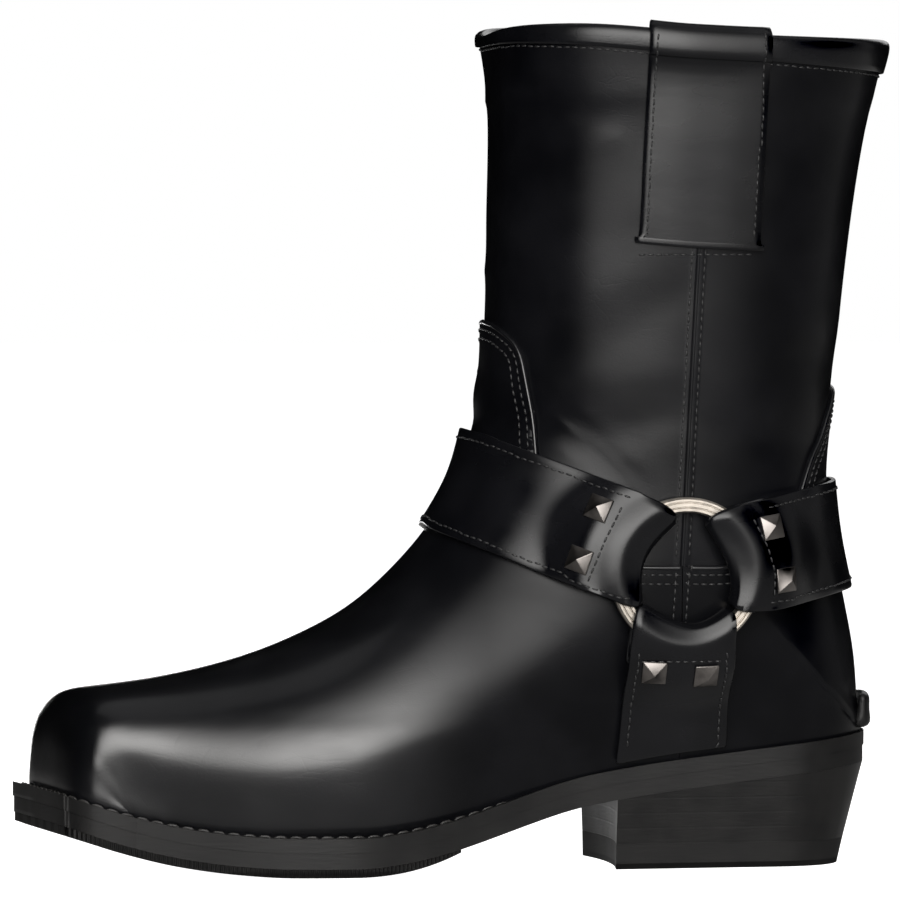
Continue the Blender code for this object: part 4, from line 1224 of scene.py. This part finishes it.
@dataclass
class Collar:
    """The collar's binding and the pull straps.

    Attributes:
        nodes: The model's nodes.
        wardrobe: Dresses the pieces.
        skin: The upper's surface.
        row_drop: Distance of the stitch row under the binding.
        edge_inset: Distance of a stitch row from a pull strap's edge.
        lip_drop: Distance of the cross row under a pull strap's lip.
        lip_ends: How far the cross row stops short of the strap's front and back.
        row_foot: How far a strap's rows start over its lip.
        row_top: Height where they end under the rim.
    """

    nodes: dict
    wardrobe: Wardrobe
    skin: Surface
    row_drop: float = 0.0011
    edge_inset: float = 0.0024
    lip_drop: float = 0.0012
    lip_ends: tuple = (0.0005, 0.0045)
    row_foot: float = 0.0034
    row_top: float = 0.2925

    def build(self) -> None:
        """Build and dress the collar."""
        binding = copy_node(self.nodes, "collar_binding", "boot_binding")
        crease_sharp(binding, 80.0, 0.5)
        subdivide(binding, 2)
        smooth_shade(binding)
        look = Leather(rough=0.27, grain=0.12, coat=0.15, shine=0.25)
        self.wardrobe.finish(binding, look, "binding_leather", Part.UPPER, "collar_binding")
        rows = [self.binding_row(Surface(binding))]
        for side in Side:
            node = "pull_strap_" + side.word
            face = Surface(strap_copy(self.nodes, self.wardrobe, node, 2))
            low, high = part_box(node)
            rows.extend(self.pull_row(face, low, side, front) for front in (True, False))
            width = np.linspace(low[0] + self.lip_ends[0], high[0] - self.lip_ends[1], 24)
            rows.append(trace([self.skin.beside(x, low[2] - self.lip_drop, side) for x in width]))
        self.wardrobe.finish(Seam().sew("collar_stitches", rows), Thread(), "upper_thread", Part.UPPER)

    def binding_row(self, binding: Surface) -> tuple:
        """Trace the stitch row just under the binding.

        Args:
            binding: The binding's surface.

        Returns:
            The path's points and normals.
        """
        hits = []
        heights = np.arange(RIM_HEIGHT - 0.022, RIM_HEIGHT - 0.003, 0.0003)
        for angle in np.linspace(-math.pi, math.pi, 160):
            proud = [z for z in heights if self.stands_out(binding, angle, z)]
            if proud:
                hits.append(self.skin.around(angle, proud[0] - self.row_drop))
        return trace(hits)

    def stands_out(self, piece: Surface, angle: float, height: float) -> bool:
        """Tell whether a piece lies just outside the skin at a place round the boot.

        Args:
            piece: The piece's surface.
            angle: Angle from the front toward the outer side.
            height: Height over the floor.

        Returns:
            True where a ray from outside meets the piece first.
        """
        near, skin = piece.around(angle, height), self.skin.around(angle, height)
        if near is None or skin is None or np.linalg.norm(near[0] - skin[0]) > 0.004:
            return False
        reach = [math.hypot(hit[0][0] - AXIS_X, hit[0][1]) for hit in (near, skin)]
        return reach[0] > reach[1]

    def pull_row(self, face: Surface, low: tuple, side: Side, front: bool) -> tuple:
        """Trace the stitch row along one edge of a pull strap.

        Args:
            face: The strap's surface.
            low: Lowest corner of the strap's box.
            side: The side it is on.
            front: Whether it follows the front edge.

        Returns:
            The path's points and normals.
        """
        hits = []
        for height in np.linspace(low[2] + self.row_foot, self.row_top, 60):
            met = face.span(np.arange(low[0] - 0.002, low[0] + 0.060, 0.0003), height, side)
            if len(met) > 20:
                x = met[0] + self.edge_inset if front else met[-1] - self.edge_inset
                hits.append(face.beside(x, height, side))
        return trace(hits)


@dataclass
class Harness:
    """The harness straps with their rings and studs.

    Attributes:
        nodes: The model's nodes.
        wardrobe: Dresses the pieces.
        band: Width of a ring's flat band.
        grooves: Where the band's grooves lie, as shares of its width.
        groove_depth: Depth of a groove.
        edge_inset: Distance of a stitch row from a strap's edge.
        swell: How far a strap swells over the ring, its distance from the ring's centre and its width.
        dip: The same for how far it sinks just behind.
        flank: Distance from the boot's middle beyond which a strap swells.
        side_span: Heights between which the side strap's rows run.
    """

    nodes: dict
    wardrobe: Wardrobe
    band: float = 0.0053
    grooves: tuple = (0.34, 0.68)
    groove_depth: float = 0.00042
    edge_inset: float = 0.0029
    swell: tuple = (0.0014, 0.0245, 0.0042)
    dip: tuple = (0.0005, 0.0330, 0.0030)
    flank: float = 0.0445
    side_span: tuple = (0.0425, 0.0780)

    # Stitch rows across the straps, as places from the ring's centre along the boot and up
    FRONT_ROW = ((-0.0226, 0.0250), (-0.0294, 0.0120), (-0.0358, -0.0036))
    BACK_ROW = ((0.0225, 0.0200), (0.0279, 0.0096), (0.0307, 0.0006), (0.0305, -0.0085))
    SIDE_ROW = ((-0.0180, -0.0301), (0.0135, -0.0301))

    def __post_init__(self) -> None:
        """Read the ring's centre from the model."""
        low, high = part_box("ring_outer")
        self.ring_x = (low[0] + high[0]) / 2
        self.ring_height = (low[2] + high[2]) / 2

    def build(self) -> None:
        """Build and dress the harness."""
        rows = []
        faces = {node: Surface(self.strap(node)) for node in ("harness_front", "harness_back")}
        for node, first, last in (("harness_front", 0.0, 66.0), ("harness_back", 180.0, 112.0)):
            for side in Side:
                rows.extend(self.edge_row(faces[node], first, last, side, top) for top in (True, False))
        for node, line in (("harness_front", self.FRONT_ROW), ("harness_back", self.BACK_ROW)):
            rows.extend(self.cross_row(faces[node], line, side) for side in Side)
        for side in Side:
            face = Surface(self.strap("harness_side_" + side.word))
            rows.append(self.cross_row(face, self.SIDE_ROW, side))
            rows.extend(self.side_row(face, side, front) for front in (True, False))
            self.ring("ring_" + side.word, side)
        self.wardrobe.finish(Seam().sew("harness_stitches", rows), Thread(), "upper_thread", Part.STRAP)
        for node in sorted(self.nodes):
            if node.startswith("stud_"):
                self.stud(node)

    def strap(self, node: str) -> bpy.types.Object:
        """Build one harness strap."""
        return strap_copy(self.nodes, self.wardrobe, node, 3, self.roll)

    def roll(self, strap: bpy.types.Object) -> None:
        """Swell a strap where it rolls over the ring, and press it in just behind.

        Args:
            strap: The strap.
        """
        points, normals = points_of(strap.data), points_of(strap.data, "normal")
        reach = np.hypot(points[:, 0] - self.ring_x, points[:, 2] - self.ring_height)
        swell, dip = (
            much * np.exp(-(((reach - at) / wide) ** 2)) for much, at, wide in (self.swell, self.dip)
        )
        outward = np.clip(normals[:, 1] * np.sign(points[:, 1]), 0, 1)
        far = np.abs(points[:, 1]) > self.flank
        set_points(strap.data, points + normals * ((swell - dip) * outward * far)[:, None])

    def cross_row(self, face: Surface, line: tuple, side: Side) -> tuple:
        """Trace a stitch row across a strap, near the ring.

        Args:
            face: The strap's surface.
            line: Places from the ring's centre, along the boot and up.
            side: The side it is on.

        Returns:
            The path's points and normals.
        """
        share = np.linspace(0, len(line) - 1, 30)
        across, up = np.array(line).T
        x = np.interp(share, range(len(line)), across) + self.ring_x
        z = np.interp(share, range(len(line)), up) + self.ring_height
        return trace([face.beside(a, b, side) for a, b in zip(x, z)])

    def edge_row(self, face: Surface, first: float, last: float, side: Side, top: bool) -> tuple:
        """Trace a stitch row along a strap's edge, round the boot.

        Args:
            face: The strap's surface.
            first: Angle where it starts, in degrees from the front.
            last: Angle where it ends.
            side: The side it is on.
            top: Whether it follows the upper edge.

        Returns:
            The path's points and normals.
        """
        hits = []
        for turn in np.linspace(first, last, 60):
            angle = -side.value * math.radians(turn)
            met = [z for z in np.arange(0.080, 0.160, 0.0004) if face.around(angle, z) is not None]
            if len(met) > 30:
                height = met[-1] - self.edge_inset if top else met[0] + self.edge_inset
                hits.append(face.around(angle, height))
        return trace(hits)

    def side_row(self, face: Surface, side: Side, front: bool) -> tuple:
        """Trace a stitch row down one edge of a side strap.

        Args:
            face: The strap's surface.
            side: The side it is on.
            front: Whether it follows the front edge.

        Returns:
            The path's points and normals.
        """
        hits = []
        for height in np.linspace(*self.side_span, 40):
            met = face.span(np.arange(0.040, 0.100, 0.0004), height, side)
            if len(met) > 20:
                x = met[0] + self.edge_inset if front else met[-1] - self.edge_inset
                hits.append(face.beside(x, height, side))
        return trace(hits)

    def ring(self, node: str, side: Side, steps: int = 128) -> None:
        """Turn the ring: a flat band with concentric grooves.

        Args:
            node: The ring's node.
            side: The side it is on.
            steps: Number of steps round it.
        """
        low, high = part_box(node)
        radius = (high[2] - low[2]) / 2
        half = (high[1] - low[1]) / 2
        level = (high[1] + low[1]) / 2
        inner = radius - self.band
        profile = [(inner, -half), (inner, half - 0.0007), (inner + 0.0006, half)]
        for share in self.grooves:
            middle = inner + self.band * share
            for step, drop in ((-0.0003, 0.0), (-0.0001, 1.0), (0.0001, 1.0), (0.0003, 0.0)):
                profile.append((middle + step, half - drop * self.groove_depth))
        profile += [(radius - 0.0007, half), (radius, half - 0.0007), (radius, -half)]
        centre = (self.ring_x, level, self.ring_height)
        deselect()
        start = (self.ring_x, level + side.value * profile[0][1], self.ring_height)
        turned = (math.pi / 2, 0.0, 0.0)
        bpy.ops.mesh.primitive_circle_add(vertices=steps, radius=inner, location=start, rotation=turned)
        item = bpy.context.active_object
        item.name = "boot_" + node
        item.data.name = item.name
        bpy.ops.object.transform_apply(location=True, rotation=True, scale=True)
        edit_all(item)
        for (before, behind), (after, ahead) in zip(profile[:-1], profile[1:]):
            move = (0.0, side.value * (ahead - behind), 0.0)
            bpy.ops.mesh.extrude_edges_move(TRANSFORM_OT_translate={"value": move})
            grow = after / before
            bpy.ops.transform.resize(value=(grow, 1.0, grow), center_override=centre)
        bpy.ops.mesh.select_all(action="DESELECT")
        bpy.ops.mesh.select_non_manifold()
        bpy.ops.mesh.bridge_edge_loops()
        close_edit()
        turn_outward(item)
        smooth_shade(item, 24.0)
        self.wardrobe.finish(item, Metal((0.50, 0.455, 0.40), 0.30), "ring_nickel", Part.RING, node)

    def stud(self, node: str) -> None:
        """Finish a stud: a pyramid with worn edges on a thin foot.

        Args:
            node: The stud's node.
        """
        item = copy_node(self.nodes, node, "boot_" + node)
        limit = {"limit_method": "ANGLE", "angle_limit": math.radians(25)}
        apply_modifier(item, "BEVEL", width=0.00032, segments=3, **limit)
        smooth_shade(item, 30.0)
        self.wardrobe.finish(item, Metal((0.20, 0.185, 0.175), 0.30), "stud_gunmetal", Part.STUD, node)


@dataclass
class Sole:
    """The sole's layers, the heel, its ledge, the insole and the welt's stitches.

    Attributes:
        nodes: The model's nodes.
        wardrobe: Dresses the pieces.
        gap: The fitting gap that a layer is raised through.
        ledge_seat: How far the ledge's inner face moves to the counter.
        middle: A point inside the forepart that the welt is followed round.
        waist: Place along the boot where the welt's stitches stop.
        row_inset: Distance of the welt's stitches from its edge.
    """

    nodes: dict
    wardrobe: Wardrobe
    gap: float = 0.00026
    ledge_seat: float = 0.0011
    middle: tuple = (-0.02, 0.002)
    waist: float = 0.048
    row_inset: float = 0.0026

    LAYERS = {
        "welt": (Edge(0.46), "welt_edge", Part.EDGE),
        "outsole": (Edge(0.50), "outsole_edge", Part.EDGE),
        "half_sole": (Edge(0.62, ribs=690.0), "half_sole_rubber", Part.RUBBER),
        "heel_stack": (Edge(0.44, layers=190.0), "heel_layers", Part.EDGE),
        "heel_lift": (Edge(0.66), "lift_rubber", Part.RUBBER),
        "heel_ledge": (Edge(0.40), "ledge_edge", Part.EDGE),
        "insole": (
            Leather((0.02, 0.018, 0.016), (0.04, 0.036, 0.032), rough=0.6, coat=0.0),
            "insole_leather",
            Part.INSOLE,
        ),
    }
    RAISED = ("outsole", "half_sole", "heel_stack", "heel_lift")

    def build(self) -> None:
        """Build and dress the sole."""
        for node, (look, name, slot) in self.LAYERS.items():
            item = copy_node(self.nodes, node, "boot_" + node)
            if node == "heel_ledge":
                self.settle_ledge(item)
            else:
                if node in self.RAISED:
                    self.close_gap(item)
                crease_sharp(item, 55.0, 1.0)
            subdivide(item, 2)
            smooth_shade(item, 30.0)
            self.wardrobe.finish(item, look, name, slot, node)
        self.welt_stitches()

    def settle_ledge(self, ledge: bpy.types.Object) -> None:
        """Seat the ledge's inner face on the counter, so that it reads as a rounded lip.

        Args:
            ledge: The ledge.
        """
        points = points_of(ledge.data)
        away = points[:, :2] - (AXIS_X, 0.0)
        reach = np.linalg.norm(away, axis=1)
        height = points[:, 2]
        for level in np.unique(np.round(height, 4)):
            row = np.abs(height - level) < 0.0009
            inner = row & (reach < reach[row].mean())
            points[inner, :2] -= away[inner] / reach[inner, None] * self.ledge_seat
        set_points(ledge.data, points)

    def close_gap(self, item: bpy.types.Object) -> None:
        """Raise a sole layer's upper face through its fitting gap.

        Args:
            item: The layer.
        """
        points, normals = points_of(item.data), points_of(item.data, "normal")
        points[:, 2] += np.where(normals[:, 2] > 0.3, self.gap, 0.0)
        set_points(item.data, points)

    def welt_stitches(self) -> None:
        """Sew the welt with a thick thread from the waist round the toe."""
        outline = copy_node(self.nodes, "welt", "welt_outline")
        points = points_of(outline.data)
        bpy.data.objects.remove(outline, do_unlink=True)
        line = np.array([point for point in points if self.is_top(point, points)])
        line = line[line[:, 0] < self.waist]
        turn = np.arctan2(line[:, 1] - self.middle[1], self.middle[0] - line[:, 0])
        line = line[np.argsort(turn)]
        reach = distances(line)
        places = np.linspace(0, reach[-1], 260)
        path = evened(np.stack([np.interp(places, reach, line[:, k]) for k in range(3)], axis=1), 9)
        face = Surface(bpy.data.objects["boot_welt"])
        up = np.tile((0.0, 0.0, 1.0), (len(path), 1))
        rows = [inset(face, path, up, way * self.row_inset) for way in (-1, 1)]
        row = min(rows, key=lambda row: np.linalg.norm(row[0][:, :2] - self.middle, axis=1).mean())
        seam = Seam(pitch=0.0054, length=0.0047, width=0.00125, sink=0.10)
        look = Thread((0.030, 0.029, 0.028), 0.5)
        self.wardrobe.finish(seam.sew("welt_stitches", [row]), look, "welt_thread", Part.EDGE)

    @staticmethod
    def is_top(point: np.ndarray, points: np.ndarray) -> bool:
        """Tell whether a point of the welt has another just under it."""
        near = np.hypot(points[:, 0] - point[0], points[:, 1] - point[1]) < 0.0008
        return bool((points[near][:, 2] < point[2] - 0.002).any())


@dataclass
class Studio:
    """Floor, lights and camera.

    Attributes:
        reach: Distance of the curved soft box.
        turn: The camera's turn toward the toe, in degrees.
        rise: The camera's rise, in degrees.
        distance: The camera's distance.
        lens: Focal length in millimetres on a 36 mm sensor.
        target: The point that it looks at.
    """

    reach: float = 3.3
    turn: float = -10.27
    rise: float = 1.94
    distance: float = 2.77
    lens: float = 315.6
    target: tuple = (-0.00365, 0.0, 0.1458)

    # Lamps: name, place, aim, size and power
    LAMPS = (
        ("top", (0.20, 0.20, 2.30), (0.0, 0.0, 0.05), (2.20, 2.00), 4.0),
        ("behind", (1.20, 2.40, 1.10), (0.0, 0.0, 0.14), (1.60, 1.00), 6.0),
        ("arch", (-0.06, 0.60, 0.05), (0.06, -0.03, 0.02), (0.26, 0.09), 0.35),
    )

    def build(self) -> None:
        """Set up the whole studio."""
        self.floor()
        self.soft_light()
        for lamp in self.LAMPS:
            self.lamp(*lamp)
        self.surround()
        self.camera()

    @staticmethod
    def floor() -> None:
        """Lay the pale floor, a wide disc that meets the white surround."""
        deselect()
        bpy.ops.mesh.primitive_circle_add(vertices=96, radius=9.0, fill_type="NGON")
        floor = bpy.context.active_object
        floor.name = "floor"
        edit_all(floor)
        bpy.ops.mesh.inset(thickness=4.0)
        bpy.ops.mesh.inset(thickness=3.0)
        close_edit()
        floor.data.materials.append(Paper().build("floor_paper"))
        floor.visible_glossy = False
        floor.visible_diffuse = False

    @staticmethod
    def glow_card(name: str, grid: np.ndarray, glow: np.ndarray) -> None:
        """Hang a sheet of soft light that the camera does not see.

        Args:
            name: Name of the sheet.
            grid: Its points, in rows and columns.
            glow: How strongly each point shines.
        """
        rows, columns = grid.shape[:2]
        starts = [i * columns + j for i in range(rows - 1) for j in range(columns - 1)]
        faces = [[k, k + 1, k + columns + 1, k + columns] for k in starts]
        card = mesh_object(name, grid.reshape(-1, 3), faces)
        card.data.attributes.new("glow", "FLOAT", "POINT").data.foreach_set("value", glow.ravel())
        card.data.materials.append(Glow().build(name + "_cloth"))
        card.visible_camera = False
        card.visible_shadow = False

    def soft_light(self) -> None:
        """Hang the curved soft box in front and the sheet that lifts the low reflections."""
        turns, rises = np.meshgrid(np.linspace(-60, 110, 52), np.linspace(-1, 70, 36))
        a, e = np.radians(turns), np.radians(rises)
        way = np.stack([np.sin(a) * np.cos(e), -np.cos(a) * np.cos(e), np.sin(e)], axis=2)
        level = curve_value(KEY_RISE, rises) * curve_value(KEY_TURN, turns) + curve_value(SIDE_TURN, turns)
        self.glow_card("soft_box", way * self.reach + (-0.02, 0.0, 0.06), level)
        across, ahead = np.meshgrid(np.linspace(-2.4, 2.4, 25), np.linspace(-2.6, 0.6, 17))
        sheet = np.stack([across, ahead, np.full_like(across, 0.002)], axis=2)
        self.glow_card("low_sheet", sheet, curve_value(FLOOR_GLOW, across))

    @staticmethod
    def lamp(name: str, place: tuple, aim: tuple, size: tuple, power: float) -> None:
        """Hang a soft box.

        Args:
            name: Name of the light.
            place: Where it hangs.
            aim: The point it faces.
            size: Its width and height.
            power: Its power in watts.
        """
        data = bpy.data.lights.new(name, "AREA")
        data.shape = "RECTANGLE"
        data.size, data.size_y = size
        data.energy = power
        lamp = bpy.data.objects.new(name, data)
        bpy.context.scene.collection.objects.link(lamp)
        lamp.location = place
        lamp.rotation_euler = (Vector(aim) - Vector(place)).to_track_quat("-Z", "Y").to_euler()
        lamp.visible_camera = False

    @staticmethod
    def surround() -> None:
        """Set the white surround, which only the camera sees."""
        world = bpy.data.worlds.new("studio")
        bpy.context.scene.world = world
        world.use_nodes = True
        sky = world.node_tree.nodes["Background"]
        sky.inputs["Color"].default_value = (1.0, 1.0, 1.0, 1.0)
        sky.inputs["Strength"].default_value = 1.0
        world.cycles_visibility.glossy = False
        world.cycles_visibility.diffuse = False

    def camera(self) -> None:
        """Place the camera as the photo was taken."""
        data = bpy.data.cameras.new("camera")
        data.sensor_width = 36.0
        data.lens = self.lens
        camera = bpy.data.objects.new("camera", data)
        bpy.context.scene.collection.objects.link(camera)
        turn, rise = math.radians(self.turn), math.radians(self.rise)
        away = Vector((math.sin(turn) * math.cos(rise), -math.cos(turn) * math.cos(rise), math.sin(rise)))
        camera.location = Vector(self.target) + away * self.distance
        camera.rotation_euler = (-away).to_track_quat("-Z", "Y").to_euler()
        bpy.context.scene.camera = camera
        bpy.context.scene.view_settings.view_transform = "Standard"


def main() -> None:
    """Build the scene in order."""
    logging.basicConfig(level=logging.INFO, format="%(message)s")
    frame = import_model()
    deselect()
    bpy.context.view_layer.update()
    nodes, wardrobe = frame["nodes"], Wardrobe()
    skin = Upper(nodes, wardrobe).build()
    Collar(nodes, wardrobe, skin).build()
    Harness(nodes, wardrobe).build()
    Sole(nodes, wardrobe).build()
    Studio().build()


if __name__ == "__main__":
    main()
